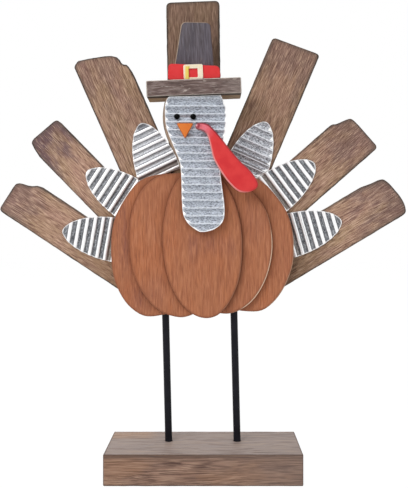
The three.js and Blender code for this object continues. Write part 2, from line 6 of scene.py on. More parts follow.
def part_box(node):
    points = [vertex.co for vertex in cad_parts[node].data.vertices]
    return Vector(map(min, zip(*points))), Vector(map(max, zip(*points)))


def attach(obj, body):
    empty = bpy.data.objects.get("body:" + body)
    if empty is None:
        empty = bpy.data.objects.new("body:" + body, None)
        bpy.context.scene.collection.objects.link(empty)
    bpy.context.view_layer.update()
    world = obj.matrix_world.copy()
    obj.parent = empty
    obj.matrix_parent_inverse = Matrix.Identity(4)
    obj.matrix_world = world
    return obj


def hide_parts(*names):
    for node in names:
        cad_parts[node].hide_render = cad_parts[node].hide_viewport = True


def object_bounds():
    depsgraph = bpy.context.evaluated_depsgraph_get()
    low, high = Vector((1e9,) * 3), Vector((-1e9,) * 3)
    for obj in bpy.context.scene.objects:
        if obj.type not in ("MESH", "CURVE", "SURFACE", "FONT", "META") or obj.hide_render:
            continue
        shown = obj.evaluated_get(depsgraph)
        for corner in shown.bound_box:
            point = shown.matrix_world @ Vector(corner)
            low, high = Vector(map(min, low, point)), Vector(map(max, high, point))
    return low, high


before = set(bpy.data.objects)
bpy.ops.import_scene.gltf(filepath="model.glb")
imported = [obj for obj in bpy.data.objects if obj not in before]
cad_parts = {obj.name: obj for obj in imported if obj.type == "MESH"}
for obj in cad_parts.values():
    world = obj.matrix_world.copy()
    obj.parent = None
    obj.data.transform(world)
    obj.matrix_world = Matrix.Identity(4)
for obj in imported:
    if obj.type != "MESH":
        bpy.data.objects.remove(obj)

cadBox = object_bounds()
scene = bpy.context.scene
front = Vector((0, -1, 0))  # the turkey looks towards -Y
rightward = Vector((1, 0, 0))
upward = Vector((0, 0, 1))
weld = 0.00001  # corners nearer than this are one corner


def deselectAll():
    for item in bpy.context.selected_objects:
        item.select_set(False)


def makeActive(piece):
    deselectAll()
    piece.select_set(True)
    bpy.context.view_layer.objects.active = piece


def startEdit(piece, kind="EDGE"):
    makeActive(piece)
    bpy.ops.object.mode_set(mode="EDIT")
    bpy.ops.mesh.select_mode(type=kind)
    bpy.ops.mesh.select_all(action="SELECT")


def endEdit():
    bpy.ops.object.mode_set(mode="OBJECT")


def pick(piece, kind, test):  # leaves the piece in edit mode with only the tested elements selected
    startEdit(piece, kind)
    bpy.ops.mesh.select_all(action="DESELECT")
    endEdit()
    mesh = piece.data
    elements = {"VERT": mesh.vertices, "EDGE": mesh.edges, "FACE": mesh.polygons}[kind]
    for element in elements:
        element.select = bool(test(element))
    bpy.ops.object.mode_set(mode="EDIT")


def copyNode(node, name, melt=0.5):  # a welded copy of a CAD node, its flat faces whole again
    piece = bpy.data.objects.new(name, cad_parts[node].data.copy())
    piece.data.name = name
    piece.data.materials.clear()
    scene.collection.objects.link(piece)
    makeActive(piece)
    bpy.ops.mesh.customdata_custom_splitnormals_clear()
    startEdit(piece)
    bpy.ops.mesh.remove_doubles(threshold=weld)
    bpy.ops.mesh.dissolve_limited(angle_limit=math.radians(melt))
    endEdit()
    return piece


def freshPiece(name):  # the primitive that was just added, named
    piece = bpy.context.object
    piece.name = name
    piece.data.name = name
    return piece


def settle(piece):  # places the mesh itself, so that the object sits at the origin
    makeActive(piece)
    bpy.ops.object.transform_apply(location=True, rotation=True, scale=True)
    return piece


def faceNormals(mesh):  # the normals of the faces at each edge
    found = {}
    for face in mesh.polygons:
        for key in face.edge_keys:
            found.setdefault(key, []).append(face.normal.copy())
    return found


def edgeLength(mesh, edge):
    start, end = edge.vertices
    return (mesh.vertices[start].co - mesh.vertices[end].co).length


def bevelPicked(width, count):  # rounds the selected edges
    bpy.ops.mesh.bevel(offset=width, segments=count, profile=0.5, affect="EDGES", clamp_overlap=False)
    endEdit()


def roundRim(piece, side, width, count, shortest=0.0):  # rounds the outline of a flat side
    mesh = piece.data
    normals = faceNormals(mesh)

    def onRim(edge):
        near = [normal.dot(side) for normal in normals.get(edge.key, [])]
        flat = any(value > 0.99 for value in near)
        wall = any(abs(value) < 0.4 for value in near)
        return flat and wall and edgeLength(mesh, edge) > shortest

    pick(piece, "EDGE", onRim)
    bevelPicked(width, count)


def roundCorners(piece, width, count, test=None):  # rounds the upright corners of a plate's outline
    mesh = piece.data
    normals = faceNormals(mesh)

    def isCorner(edge):
        near = normals.get(edge.key, [])
        if len(near) != 2 or any(abs(normal.dot(front)) > 0.3 for normal in near):
            return False
        middle = (mesh.vertices[edge.vertices[0]].co + mesh.vertices[edge.vertices[1]].co) / 2
        return near[0].angle(near[1]) > math.radians(50) and (test is None or test(middle))

    pick(piece, "EDGE", isCorner)
    bevelPicked(width, count)


def insetFlat(piece, side, width, least=0.0):  # a ring inside each flat face of a side above the least area
    pick(piece, "FACE", lambda face: face.normal.dot(side) > 0.999 and face.area > least)
    bpy.ops.mesh.inset(thickness=width, depth=0, use_boundary=True, use_even_offset=True)
    endEdit()


def slicePiece(piece, start, direction, distances):  # cuts across the piece at each distance
    startEdit(piece)
    for distance in distances:
        bpy.ops.mesh.select_all(action="SELECT")
        bpy.ops.mesh.bisect(plane_co=start + direction * distance, plane_no=direction, threshold=weld / 10)
    endEdit()


def trimCorner(piece, rounding, x, z, distance):  # takes off what lies beyond a distance towards (x, z)
    direction = Vector((x, 0, z)).normalized()
    startEdit(piece)
    bpy.ops.mesh.bisect(plane_co=direction * distance, plane_no=direction, use_fill=True, clear_outer=True)
    endEdit()
    places = [vertex.co.copy() for vertex in piece.data.vertices]

    def onCut(edge):
        first, last = (places[index] for index in edge.vertices)
        level = abs(first.dot(direction) - distance) + abs(last.dot(direction) - distance)
        return level < weld and abs(first.y - last.y) > abs(first.x - last.x) + abs(first.z - last.z)

    pick(piece, "EDGE", onCut)
    bevelPicked(rounding, 3)


def closeHoles(piece, axes, radius):  # a board without its nail holes
    def inHole(face):
        centre = face.center
        return any(math.hypot(centre.x - x, centre.z - z) < radius for x, z in axes)

    pick(piece, "FACE", lambda face: abs(face.normal.y) < 0.5 and inHole(face))
    bpy.ops.mesh.delete(type="FACE")
    bpy.ops.mesh.select_mode(type="EDGE")
    bpy.ops.mesh.select_all(action="SELECT")
    bpy.ops.mesh.fill_holes(sides=0)
    bpy.ops.mesh.select_all(action="SELECT")
    bpy.ops.mesh.dissolve_limited(angle_limit=math.radians(0.5))
    endEdit()


def cutHoles(piece, axes, radius, low, high):  # drills along Y, all in one cut
    drills = []
    for x, z in axes:
        deselectAll()
        bpy.ops.mesh.primitive_cylinder_add(vertices=16, radius=radius, depth=high - low, location=(
            x, (high + low) / 2, z), rotation=(math.radians(90), 0, 0))
        drills.append(settle(bpy.context.object))
    for drill in drills:
        drill.select_set(True)
    bpy.context.view_layer.objects.active = drills[0]
    bpy.ops.object.join()
    drill = bpy.context.object
    makeActive(piece)
    modifier = piece.modifiers.new("holes", "BOOLEAN")
    modifier.operation = "DIFFERENCE"
    modifier.solver = "EXACT"
    modifier.object = drill
    bpy.ops.object.modifier_apply(modifier=modifier.name)
    bpy.data.objects.remove(drill)


def stepsFrom(first, last, step):
    return [first + step * index for index in range(1, int((last - first) / step) + 1)]


def roughen(piece, amount, seed, test):  # small dents where the test holds
    pick(piece, "VERT", test)
    bpy.ops.transform.vertex_random(offset=amount, uniform=0, normal=0, seed=seed)
    endEdit()
    low, high = cadBox
    for vertex in piece.data.vertices:  # no dent leaves the CAD box
        vertex.co = [min(max(value, low[axis]), high[axis]) for axis, value in enumerate(vertex.co)]


def blockRim(middle, size, rim, turn):  # the test for the rounded edges of a block
    inside = size / 2 - Vector((1, 1, 1)) * rim * 0.98
    back = turn.inverted()

    def onRim(vertex):
        away = back @ (vertex.co - middle)
        return sum(abs(away[axis]) > inside[axis] for axis in range(3)) > 1

    return onRim


def insetSides(piece, width, least, turn):  # rings on all six sides of a block
    for axis in (rightward, -front, upward):
        for side in (axis, -axis):
            insetFlat(piece, turn @ side, width, least)


def writeFloats(piece, name, values):
    layer = piece.data.attributes.new(name, "FLOAT", "POINT")
    layer.data.foreach_set("value", values)


def writeVectors(piece, name, vectors):
    layer = piece.data.attributes.new(name, "FLOAT_VECTOR", "POINT")
    layer.data.foreach_set("vector", [part for vector in vectors for part in vector])


def markGrain(piece, origin, along, seed, tip=None):  # across, depth and along the grain, in metres
    along = Vector(along).normalized()
    across = along.cross(front).normalized()
    shift = Vector((0.37, 0.11, 0.61)) * seed
    rows = [vertex.co - Vector(origin) for vertex in piece.data.vertices]
    writeVectors(piece, "grain", [
        Vector((row.dot(across), -row.dot(front), row.dot(along))) + shift for row in rows])
    if tip:  # 0 at the first distance along the grain and 1 at the second
        writeFloats(piece, "tip", [(row.dot(along) - tip[0]) / (tip[1] - tip[0]) for row in rows])


def markRim(piece):  # 1 on rounded edges, less on plain walls, 0 on the flat sides
    mesh = piece.data
    touches = [set() for vertex in mesh.vertices]
    for face in mesh.polygons:
        tilt = abs(face.normal.dot(front))
        kind = "flat" if tilt > 0.985 else "wall" if tilt < 0.05 else "round"
        for index in face.vertices:
            touches[index].add(kind)
    worth = {("round",): 1, ("flat", "round"): 0.35, ("round", "wall"): 0.8, ("wall",): 0.5, ("flat",): 0}
    writeFloats(piece, "rim", [worth.get(tuple(sorted(kinds)), 0.6) for kinds in touches])


def finishPiece(piece, slot, material, *nodes, angle=40, even=True):
    makeActive(piece)
    bpy.ops.object.shade_smooth_by_angle(angle=math.radians(angle))
    if even:  # large faces keep flat shading beside rounded edges
        modifier = piece.modifiers.new("evenNormals", "WEIGHTED_NORMAL")
        modifier.keep_sharp = True
        bpy.ops.object.modifier_apply(modifier=modifier.name)
    piece.data.materials.clear()
    piece.data.materials.append(bpy.data.materials[material])
    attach(piece, "root")
    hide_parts(*nodes)
    deselectAll()


def screenColor(red, green, blue):  # a colour as a screen shows it, 0 to 255
    parts = []
    for value in (red / 255, green / 255, blue / 255):
        parts.append(value / 12.92 if value <= 0.04045 else ((value + 0.055) / 1.055) ** 2.4)
    return (*parts, 1)


def feed(made, inputs):  # links sockets to a node, sets values and gives the node's outputs
    for name, value in inputs.items():
        if isinstance(value, bpy.types.NodeSocket):
            made.id_data.links.new(value, made.inputs[name])
        else:
            made.inputs[name].default_value = value
    return made.outputs


def newNode(tree, kind, inputs=None, **settings):  # a node with its settings and inputs
    made = tree.nodes.new(kind)
    for name, value in settings.items():
        setattr(made, name, value)
    return feed(made, inputs or {})


def addNode(kind, inputs, **settings):  # a node in the tree of the sockets that feed it
    tree = next(value.id_data for value in inputs.values() if isinstance(value, bpy.types.NodeSocket))
    return newNode(tree, kind, inputs, **settings)


def useGroup(group, vector, **inputs):
    return addNode("ShaderNodeGroup", {"Vector": vector, **inputs}, node_tree=group)


def maths(operation, first, second=0.0):
    return addNode("ShaderNodeMath", {0: first, 1: second}, operation=operation)[0]


def times(first, *others):
    for other in others:
        first = maths("MULTIPLY", first, other)
    return first


def plus(first, second):
    return maths("ADD", first, second)


def minus(first, second):
    return maths("SUBTRACT", first, second)


def flip(value):
    return minus(1.0, value)


def swing(value, amount):  # a value from 0 to 1, moved to both sides of zero
    return times(minus(value, 0.5), amount)


def lift(value, share, least):
    return plus(times(value, share), least)


def remap(value, low, high, toLow=0.0, toHigh=1.0, kind="SMOOTHSTEP"):
    inputs = dict(enumerate((value, low, high, toLow, toHigh)))
    return addNode("ShaderNodeMapRange", inputs, interpolation_type=kind)[0]


def between(value, low, high):
    return remap(value, 0.0, 1.0, low, high, "LINEAR")


def blend(factor, first, second, kind="MIX"):
    return addNode("ShaderNodeMix", {0: factor, 6: first, 7: second}, data_type="RGBA", blend_type=kind)[2]


def cover(color, shade, amount, kind="MIX"):  # lays a screen colour over what is there
    return blend(amount, color, screenColor(*shade), kind)


def scaled(vector, factors):
    return addNode("ShaderNodeVectorMath", {0: vector, 1: factors}, operation="MULTIPLY")[0]


def noiseAt(vector, scale=1.0, detail=2.0, rough=0.5):
    return addNode("ShaderNodeTexNoise", {
        "Vector": vector, "Scale": scale, "Detail": detail, "Roughness": rough})[0]


def attribute(tree, name, output="Fac"):
    return newNode(tree, "ShaderNodeAttribute", attribute_name=name)[output]


def objectPlace(tree):
    return newNode(tree, "ShaderNodeTexCoord")["Object"]


def axesOf(vector):
    return addNode("ShaderNodeSeparateXYZ", {0: vector})


def normalTowards(tree, direction):  # how far the surface faces a direction
    normal = newNode(tree, "ShaderNodeTexCoord")["Normal"]
    return addNode("ShaderNodeVectorMath", {0: normal, 1: direction}, operation="DOT_PRODUCT")["Value"]


def creviceMask(tree, reach, low, high, amount):  # painted shade, with some dirt, that gathers deep in a corner
    clear = newNode(tree, "ShaderNodeAmbientOcclusion", {"Distance": reach}, samples=8)["AO"]
    return remap(flip(clear), low, high, 0.0, amount)


def edgeInside(tree, reach):  # near 1 at the outline of a plate, 0 away from it
    clear = newNode(tree, "ShaderNodeAmbientOcclusion", {"Distance": reach}, samples=8, inside=True,
                    only_local=True)["AO"]
    return times(flip(clear), 2.0)


def newGroup(name, inputs, outputs):  # an input without a value is a vector
    group = bpy.data.node_groups.new(name, "ShaderNodeTree")
    for label, value in inputs.items():
        kind = "NodeSocketVector" if value is None else "NodeSocketFloat"
        socket = group.interface.new_socket(name=label, in_out="INPUT", socket_type=kind)
        if value is not None:
            socket.default_value = value
    for label in outputs:
        group.interface.new_socket(name=label, in_out="OUTPUT", socket_type="NodeSocketFloat")
    return group.nodes.new("NodeGroupInput").outputs, group.nodes.new("NodeGroupOutput")


def newMaterial(name, roughness, shine=0.5, **constants):
    material = bpy.data.materials.new(name)
    material.use_nodes = True
    shader = material.node_tree.nodes["Principled BSDF"]
    feed(shader, {"Roughness": roughness, "Specular IOR Level": shine, **constants})
    return material.node_tree, shader


def wire(shader, color, rough, height, strength, depth):
    relief = addNode("ShaderNodeBump", {"Height": height, "Strength": strength, "Distance": depth})
    feed(shader, {"Base Color": color, "Roughness": rough, "Normal": relief[0]})


def makeWoodFibre():  # fine lines, streaks, dark pores and broad tone along the grain
    source, sink = newGroup("woodFibre", {
        "Vector": None, "Lines": 700.0, "Stretch": 18.0, "Wander": 0.002, "Pore Start": 0.55,
        "Pore End": 0.66}, ["Fine", "Streaks", "Pores", "Broad", "Height"])
    shift = swing(noiseAt(scaled(source["Vector"], (30, 30, 12))), source["Wander"])
    offset = addNode("ShaderNodeCombineXYZ", {0: shift, 1: shift})[0]
    bent = addNode("ShaderNodeVectorMath", {0: source["Vector"], 1: offset})[0]
    slow = maths("DIVIDE", source["Lines"], source["Stretch"])

    def layer(share, slowShare, rough=0.5):
        across = times(source["Lines"], share)
        factors = addNode("ShaderNodeCombineXYZ", {0: across, 1: across, 2: times(slow, slowShare)})[0]
        return noiseAt(scaled(bent, factors), rough=rough)

    fine = remap(layer(1.0, 1.0), 0.32, 0.68, kind="LINEAR")
    pores = remap(layer(0.7, 1.1, 0.55), source["Pore Start"], source["Pore End"])
    feed(sink, {"Fine": fine, "Streaks": remap(layer(0.3, 0.35), 0.34, 0.66), "Pores": pores,
                "Broad": remap(layer(0.05, 0.25), 0.3, 0.7), "Height": minus(fine, pores)})
    return sink.id_data


def makeRimWear():  # ragged wear that follows the rounded edges
    source, sink = newGroup("rimWear", {
        "Rim": 0.0, "Vector": None, "Scale": 300.0, "Start": 0.4, "End": 0.9, "Ragged": 0.8}, ["Mask"])
    spread = noiseAt(source["Vector"], source["Scale"], detail=3, rough=0.6)
    edge = plus(source["Rim"], swing(spread, source["Ragged"]))
    feed(sink, {"Mask": remap(edge, source["Start"], source["End"])})
    return sink.id_data


def makeMottle():  # soft patches
    source, sink = newGroup("mottle", {
        "Vector": None, "Scale": 60.0, "Low": 0.4, "High": 0.6, "Detail": 3.0}, ["Mask"])
    spread = noiseAt(source["Vector"], source["Scale"], source["Detail"], rough=0.6)
    feed(sink, {"Mask": remap(spread, source["Low"], source["High"])})
    return sink.id_data


def makeRidgeBands():  # a bright band (a painted reflection), thin lines (painted shade) and edge teeth (painted highlights) once in every ridge, with a speckle
    source, sink = newGroup("ridgeBands", {
        "Ridge": 0.0, "Vector": None, "Width": 0.22, "Soft": 0.05, "Line At": 0.3, "Line Width": 0.05,
        "Inward": 0.01, "Tooth Length": 0.0}, ["Bright", "Line", "Middle", "Speck", "Teeth"])
    wobble = noiseAt(scaled(source["Vector"], (90, 90, 90)), detail=1)
    turn = plus(source["Ridge"], swing(wobble, 0.1))
    away = maths("ABSOLUTE", minus(maths("FRACT", plus(turn, 0.5)), 0.5))
    inner = minus(source["Width"], source["Soft"])
    outer = plus(source["Width"], source["Soft"])
    offset = maths("ABSOLUTE", minus(away, source["Line At"]))
    grainy = noiseAt(scaled(source["Vector"], (520, 700, 1300)), detail=3, rough=0.7)
    rise = maths("FRACT", plus(turn, 0.84))
    length = times(source["Tooth Length"], remap(rise, 0.0, 0.62, 1.0, 0.0, "LINEAR"))
    feed(sink, {
        "Bright": remap(away, inner, outer, 1.0, 0.0),
        "Line": remap(offset, 0.0, source["Line Width"], 1.0, 0.0),
        "Middle": remap(away, 0.02, 0.08, 1.0, 0.0),
        "Speck": remap(grainy, 0.36, 0.6),
        "Teeth": remap(minus(length, source["Inward"]), -0.0001, 0.0003),
    })
    return sink.id_data


def makeBrushCoat():  # brush marks in a paint film
    source, sink = newGroup("brushCoat", {
        "Vector": None, "Marks": 900.0, "Stretch": 6.0}, ["Tone", "Height"])
    slow = maths("DIVIDE", source["Marks"], source["Stretch"])
    factors = addNode("ShaderNodeCombineXYZ", {0: slow, 1: slow, 2: source["Marks"]})[0]
    tone = remap(noiseAt(source["Vector"], 120.0, detail=3), 0.3, 0.7)
    feed(sink, {"Tone": tone, "Height": noiseAt(scaled(source["Vector"], factors), detail=3, rough=0.6)})
    return sink.id_data


woodFibre, rimWear, mottle = makeWoodFibre(), makeRimWear(), makeMottle()
ridgeBands, brushCoat = makeRidgeBands(), makeBrushCoat()
print("shared effects ready")


def patches(vector, scale, low, high):
    return useGroup(mottle, vector, Scale=scale, Low=low, High=high)["Mask"]


def rimMask(vector, scale, start, end, ragged=0.8):
    return useGroup(rimWear, vector, Rim=attribute(vector.id_data, "rim"), Scale=scale, Start=start,
                    End=end, Ragged=ragged)["Mask"]


cameraSettings = {"place": (0.0084, -0.609, 0.215), "lens": 50.776, "shift": (-0.01885, -0.0295)}
lampSettings = [
    {"name": "keyLamp", "place": (-1.0, -1.5, 1.3), "size": 1.1, "power": 21},
    {"name": "fillLamp", "place": (1.5, -1.4, 0.6), "size": 1.8, "power": 5},
    {"name": "topLamp", "place": (0, -0.1, 1.7), "size": 1.2, "power": 7},
]
studioSettings = {
    "aim": (0, 0, 0.2), "skyForSurfaces": 0.42, "floorSize": 8, "floorColor": (0.95, 0.95, 0.95, 1),
    "floorPale": (0.97, 0.97, 0.97, 1), "floorGlow": 0.9, "glowStrength": 1.06,
}


def seenDirectly(tree):  # camera, glossy and transmission rays see the white background
    path = newNode(tree, "ShaderNodeLightPath")
    return maths("MAXIMUM", maths("MAXIMUM", path["Is Camera Ray"], path["Is Glossy Ray"]),
                 path["Is Transmission Ray"])


def makeCamera():
    lens = bpy.data.cameras.new("camera")
    lens.sensor_width = 36
    lens.lens = cameraSettings["lens"]
    lens.shift_x, lens.shift_y = cameraSettings["shift"]
    lens.clip_start = 0.01
    camera = bpy.data.objects.new("camera", lens)
    camera.location = cameraSettings["place"]
    camera.rotation_euler = (math.radians(90), 0, 0)
    scene.collection.objects.link(camera)
    scene.camera = camera


def makeLamps():
    for settings in lampSettings:
        light = bpy.data.lights.new(settings["name"], "AREA")
        light.shape = "SQUARE"
        light.size = settings["size"]
        light.energy = settings["power"]
        lamp = bpy.data.objects.new(settings["name"], light)
        lamp.location = settings["place"]
        aim = Vector(studioSettings["aim"]) - lamp.location
        lamp.rotation_euler = aim.to_track_quat("-Z", "Y").to_euler()
        scene.collection.objects.link(lamp)


def makeSky():
    world = bpy.data.worlds.new("studio")
    scene.world = world
    world.use_nodes = True
    tree = world.node_tree
    tree.nodes.clear()
    soft = newNode(tree, "ShaderNodeBackground", {0: (1, 1, 1, 1), 1: studioSettings["skyForSurfaces"]})
    white = newNode(tree, "ShaderNodeBackground", {0: (1, 1, 1, 1), 1: 1.0})
    mixed = addNode("ShaderNodeMixShader", {0: seenDirectly(tree), 1: soft[0], 2: white[0]})
    addNode("ShaderNodeOutputWorld", {0: mixed[0]})


def makeFloor():
    bpy.ops.mesh.primitive_plane_add(size=studioSettings["floorSize"], location=(0, 0, 0))
    floor = freshPiece("floor")
    tree, shader = newMaterial("paleFloor", 0.9, 0.1)
    speckle = noiseAt(objectPlace(tree), 40.0, 3)
    feed(shader, {"Base Color": blend(speckle, studioSettings["floorColor"], studioSettings["floorPale"])})
    glow = newNode(tree, "ShaderNodeEmission", {0: (1, 1, 1, 1), 1: studioSettings["glowStrength"]})
    share = times(seenDirectly(tree), studioSettings["floorGlow"])
    mixed = addNode("ShaderNodeMixShader", {0: share, 1: shader.outputs[0], 2: glow[0]})
    feed(tree.nodes["Material Output"], {"Surface": mixed[0]})
    floor.data.materials.append(bpy.data.materials["paleFloor"])


deselectAll()
scene.view_settings.view_transform = "Standard"
makeCamera()
makeLamps()
makeSky()
makeFloor()
print("studio ready")


def startWood(name, look):
    tree, shader = newMaterial(name, look["plainRough"], look.get("shine", 0.2))
    grain = attribute(tree, "grain", "Vector")
    return tree, shader, grain, useGroup(woodFibre, grain, **look["grain"])


def finishWood(shader, color, fibre, look):
    wire(shader, color, between(fibre["Fine"], *look["rough"]), fibre["Height"], *look["relief"])


def woodBody(look, fibre):  # streaks and a broad cast
    body = blend(fibre["Streaks"], screenColor(*look["dark"]), screenColor(*look["light"]))
    return cover(body, look["cast"], times(fibre["Broad"], look["broad"]))


def grainLines(look, fibre, body):  # fine pale and dark lines and pores over any tone
    body = cover(body, look["pale"], remap(fibre["Fine"], 0.55, 1.0, 0.0, look["fine"]), "LIGHTEN")
    body = cover(body, look["pore"], remap(fibre["Fine"], 0.5, 0.05, 0.0, look["lines"]))
    return cover(body, look["pore"], times(fibre["Pores"], look["pores"]))


boardLook = {
    "dark": (161, 128, 109), "light": (171, 138, 118), "pale": (210, 178, 156), "fine": 0.58, "lines": 0.72,
    "pore": (97, 66, 56), "pores": 0.12, "cast": (156, 130, 100), "broad": 0.6, "red": (150, 112, 102),
    "tip": (112, 88, 90), "foot": (160, 130, 94), "rim": (60, 53, 48), "veil": (62, 48, 40),
    "worn": (96, 84, 78), "grain": {"Lines": 1550.0, "Stretch": 13.0, "Wander": 0.003},
    "redPatches": (50.0, 0.42, 0.68), "patches": (75.0, 0.3, 0.7), "border": 0.0045,
    "brownest": (0.955, 0.90), "wear": (260.0, 0.12, 0.62), "dirt": (0.007, 0.1, 0.9, 0.5),
    "seam": (0.0022, 0.15, 0.7, 0.7), "plainRough": 0.72, "rough": (0.62, 0.85), "relief": (0.5, 0.0004),
}
crownShadow = {"left": (0.006, 0.0125), "right": (0.03, 0.04), "low": (0.345, 0.365), "high": (0.400, 0.406),
               "amount": 0.25}


def crownShade(color):  # the hat's shadow on the centre board
    place = axesOf(objectPlace(color.id_data))
    shadow = times(remap(place["X"], *crownShadow["left"]), remap(place["Z"], *crownShadow["low"]),
                   remap(place["Z"], *crownShadow["high"], 1.0, 0.0),
                   remap(place["X"], *crownShadow["right"], 1.0, 0.0), crownShadow["amount"])
    return cover(color, boardLook["veil"], shadow)


def makeBoardWood():
    look = boardLook
    tree, shader, grain, fibre = startWood("boardWood", look)
    body = woodBody(look, fibre)
    ruddy = patches(scaled(grain, (1, 1, 0.35)), *look["redPatches"])
    body = cover(body, look["red"], times(ruddy, 0.42))
    patchy = patches(scaled(grain, (1, 1, 0.4)), *look["patches"])
    ragged = plus(attribute(tree, "tip"), swing(patchy, 0.3))
    smoky = times(remap(ragged, 0.66, 0.92), attribute(tree, "smoke"))
    body = cover(body, look["tip"], smoky)
    body = cover(body, look["foot"], remap(ragged, 0.1, 0.5, 0.5, 0.0))
    color = grainLines(look, fibre, body)
    border = plus(edgeInside(tree, look["border"]), swing(patchy, 0.4))
    border = times(remap(border, 0.0, 0.6), remap(ragged, 0.5, 0.95, 0.08, 0.5))
    color = cover(color, look["worn"], border)
    share = remap(patchy, 0.0, 1.0, 0.95, 0.5)
    # dark rims: partly stained, burnt edges, partly painted shade on the side walls
    color = cover(color, look["rim"], times(rimMask(grain, *look["wear"]), share))
    # painted shade and dirt in corners, and painted contact shadows where the sheets lie on the board
    dirt = maths("MAXIMUM", creviceMask(tree, *look["dirt"]), creviceMask(tree, *look["seam"]))
    color = cover(color, look["rim"], dirt)
    tone, brown = attribute(tree, "tone"), attribute(tree, "brown")
    green, blue = (times(tone, between(brown, 1.0, least)) for least in look["brownest"])
    shade = addNode("ShaderNodeCombineXYZ", {0: tone, 1: green, 2: blue})[0]
    color = crownShade(blend(1.0, color, shade, "MULTIPLY"))
    finishWood(shader, color, fibre, look)


headLook = {**boardLook, "grain": {"Lines": 620.0, "Stretch": 14.0, "Wander": 0.003}, "bare": (168, 148, 130),
            "wear": (300.0, 0.4, 1.0), "plainRough": 0.75, "relief": (0.4, 0.0004)}


def makeHeadWood():
    look = headLook
    shader, grain, fibre = startWood("headWood", look)[1:]
    color = cover(grainLines(look, fibre, woodBody(look, fibre)), look["bare"], 0.55)
    color = cover(color, look["rim"], times(rimMask(grain, *look["wear"]), 0.6))
    wire(shader, color, look["plainRough"], fibre["Height"], *look["relief"])


baseLook = {
    "dark": (142, 109, 91), "light": (151, 118, 99), "pale": (186, 156, 134), "fine": 0.62, "lines": 0.9,
    "pore": (76, 52, 44), "pores": 0.6, "cast": (142, 118, 106), "broad": 0.6, "rim": (84, 66, 58),
    "warm": (166, 124, 92), "dusk": (120, 104, 96), "top": (171, 156, 150), "topWarm": (188, 150, 122),
    "topPale": (190, 168, 150), "veins": {"Lines": 420.0, "Stretch": 14.0, "Wander": 0.016},
    "grain": {"Lines": 1750.0, "Stretch": 50.0, "Wander": 0.005, "Pore Start": 0.53, "Pore End": 0.6},
    "warmPatches": (48.0, 0.45, 0.62), "wear": (300.0, 0.3, 0.95), "dirt": (0.004, 0.2, 0.9, 0.7),
    "plainRough": 0.5, "shine": 0.3, "rough": (0.42, 0.62), "relief": (0.4, 0.0004),
}


def baseTop(look, grain, place):  # lighter and greyer than the sides, partly its own smoother finish and partly a painted sheen, with broad veins and a warm rear left corner
    veins = useGroup(woodFibre, grain, **look["veins"])
    rear = times(remap(place["Y"], 0.006, 0.016), remap(place["X"], -0.034, -0.056))
    warm = times(rear, lift(veins["Streaks"], 0.3, 0.6))
    color = blend(warm, screenColor(*look["top"]), screenColor(*look["topWarm"]))
    color = cover(color, look["dusk"], remap(place["X"], 0.02, 0.08, 0.0, 0.28))
    color = cover(color, look["dusk"], remap(veins["Fine"], 0.5, 0.0, 0.0, 0.75))
    return cover(color, look["topPale"], remap(veins["Fine"], 0.5, 1.0, 0.0, 0.6))


def makeBaseWood():
    look = baseLook
    tree, shader, grain, fibre = startWood("baseWood", look)
    color = grainLines(look, fibre, woodBody(look, fibre))
    patch = patches(scaled(grain, (1, 1, 0.4)), *look["warmPatches"])
    color = cover(color, look["warm"], times(patch, 0.28))
    place = axesOf(objectPlace(tree))
    top = remap(normalTowards(tree, (0, 0, 1)), 0.4, 0.9)
    strip = remap(place["Z"], 0.0195, 0.0256, 0.0, 0.85)  # darker under the top edge
    color = cover(color, look["rim"], times(strip, lift(fibre["Streaks"], 0.6, 0.4), flip(top)))
    color = cover(color, look["dusk"], remap(place["X"], -0.02, 0.08, 0.0, 0.4))
    # the upward faces take the top colour: partly its own finish, partly a painted sheen
    color = blend(times(top, 0.82), color, baseTop(look, grain, place))
    color = cover(color, look["rim"], times(rimMask(grain, *look["wear"]), 0.75))
    # painted shade and dirt in the corners of the base
    color = cover(color, look["pore"], creviceMask(tree, *look["dirt"]))
    finishWood(shader, color, fibre, look)


hatWood = {  # what the crown and the brim share
    "broad": 0.5, "under": (172, 142, 108), "lip": (40, 30, 26), "sill": (58, 42, 34),
    "specks": (170.0, 0.62, 0.7), "wear": (330.0, 0.4, 0.9), "dirt": (0.005, 0.2, 0.9, 0.6),
    "plainRough": 0.75, "rough": (0.65, 0.85), "relief": (0.5, 0.0004),
}
hatLooks = {
    "crownWood": {
        "dark": (80, 74, 80), "light": (100, 93, 98), "pale": (122, 118, 126), "fine": 0.4, "lines": 0.4,
        "pore": (58, 50, 52), "pores": 0.3, "cast": (92, 86, 96), "side": (96, 74, 66),
        "worn": (184, 166, 146), "litSide": (-0.8, 0, 0.6), "flecks": 0.12,
        "grain": {"Lines": 900.0, "Stretch": 13.0, "Wander": 0.003},
    },
    "brimWood": {
        "dark": (104, 86, 82), "light": (116, 97, 92), "pale": (164, 150, 144), "fine": 0.6, "lines": 0.66,
        "pore": (66, 52, 48), "pores": 0.5, "cast": (114, 98, 94), "side": (112, 94, 86),
        "worn": (206, 196, 186), "litSide": (0, -0.75, 0), "flecks": 0.5,
        "grain": {"Lines": 1500.0, "Stretch": 13.0, "Wander": 0.003},
    },
}


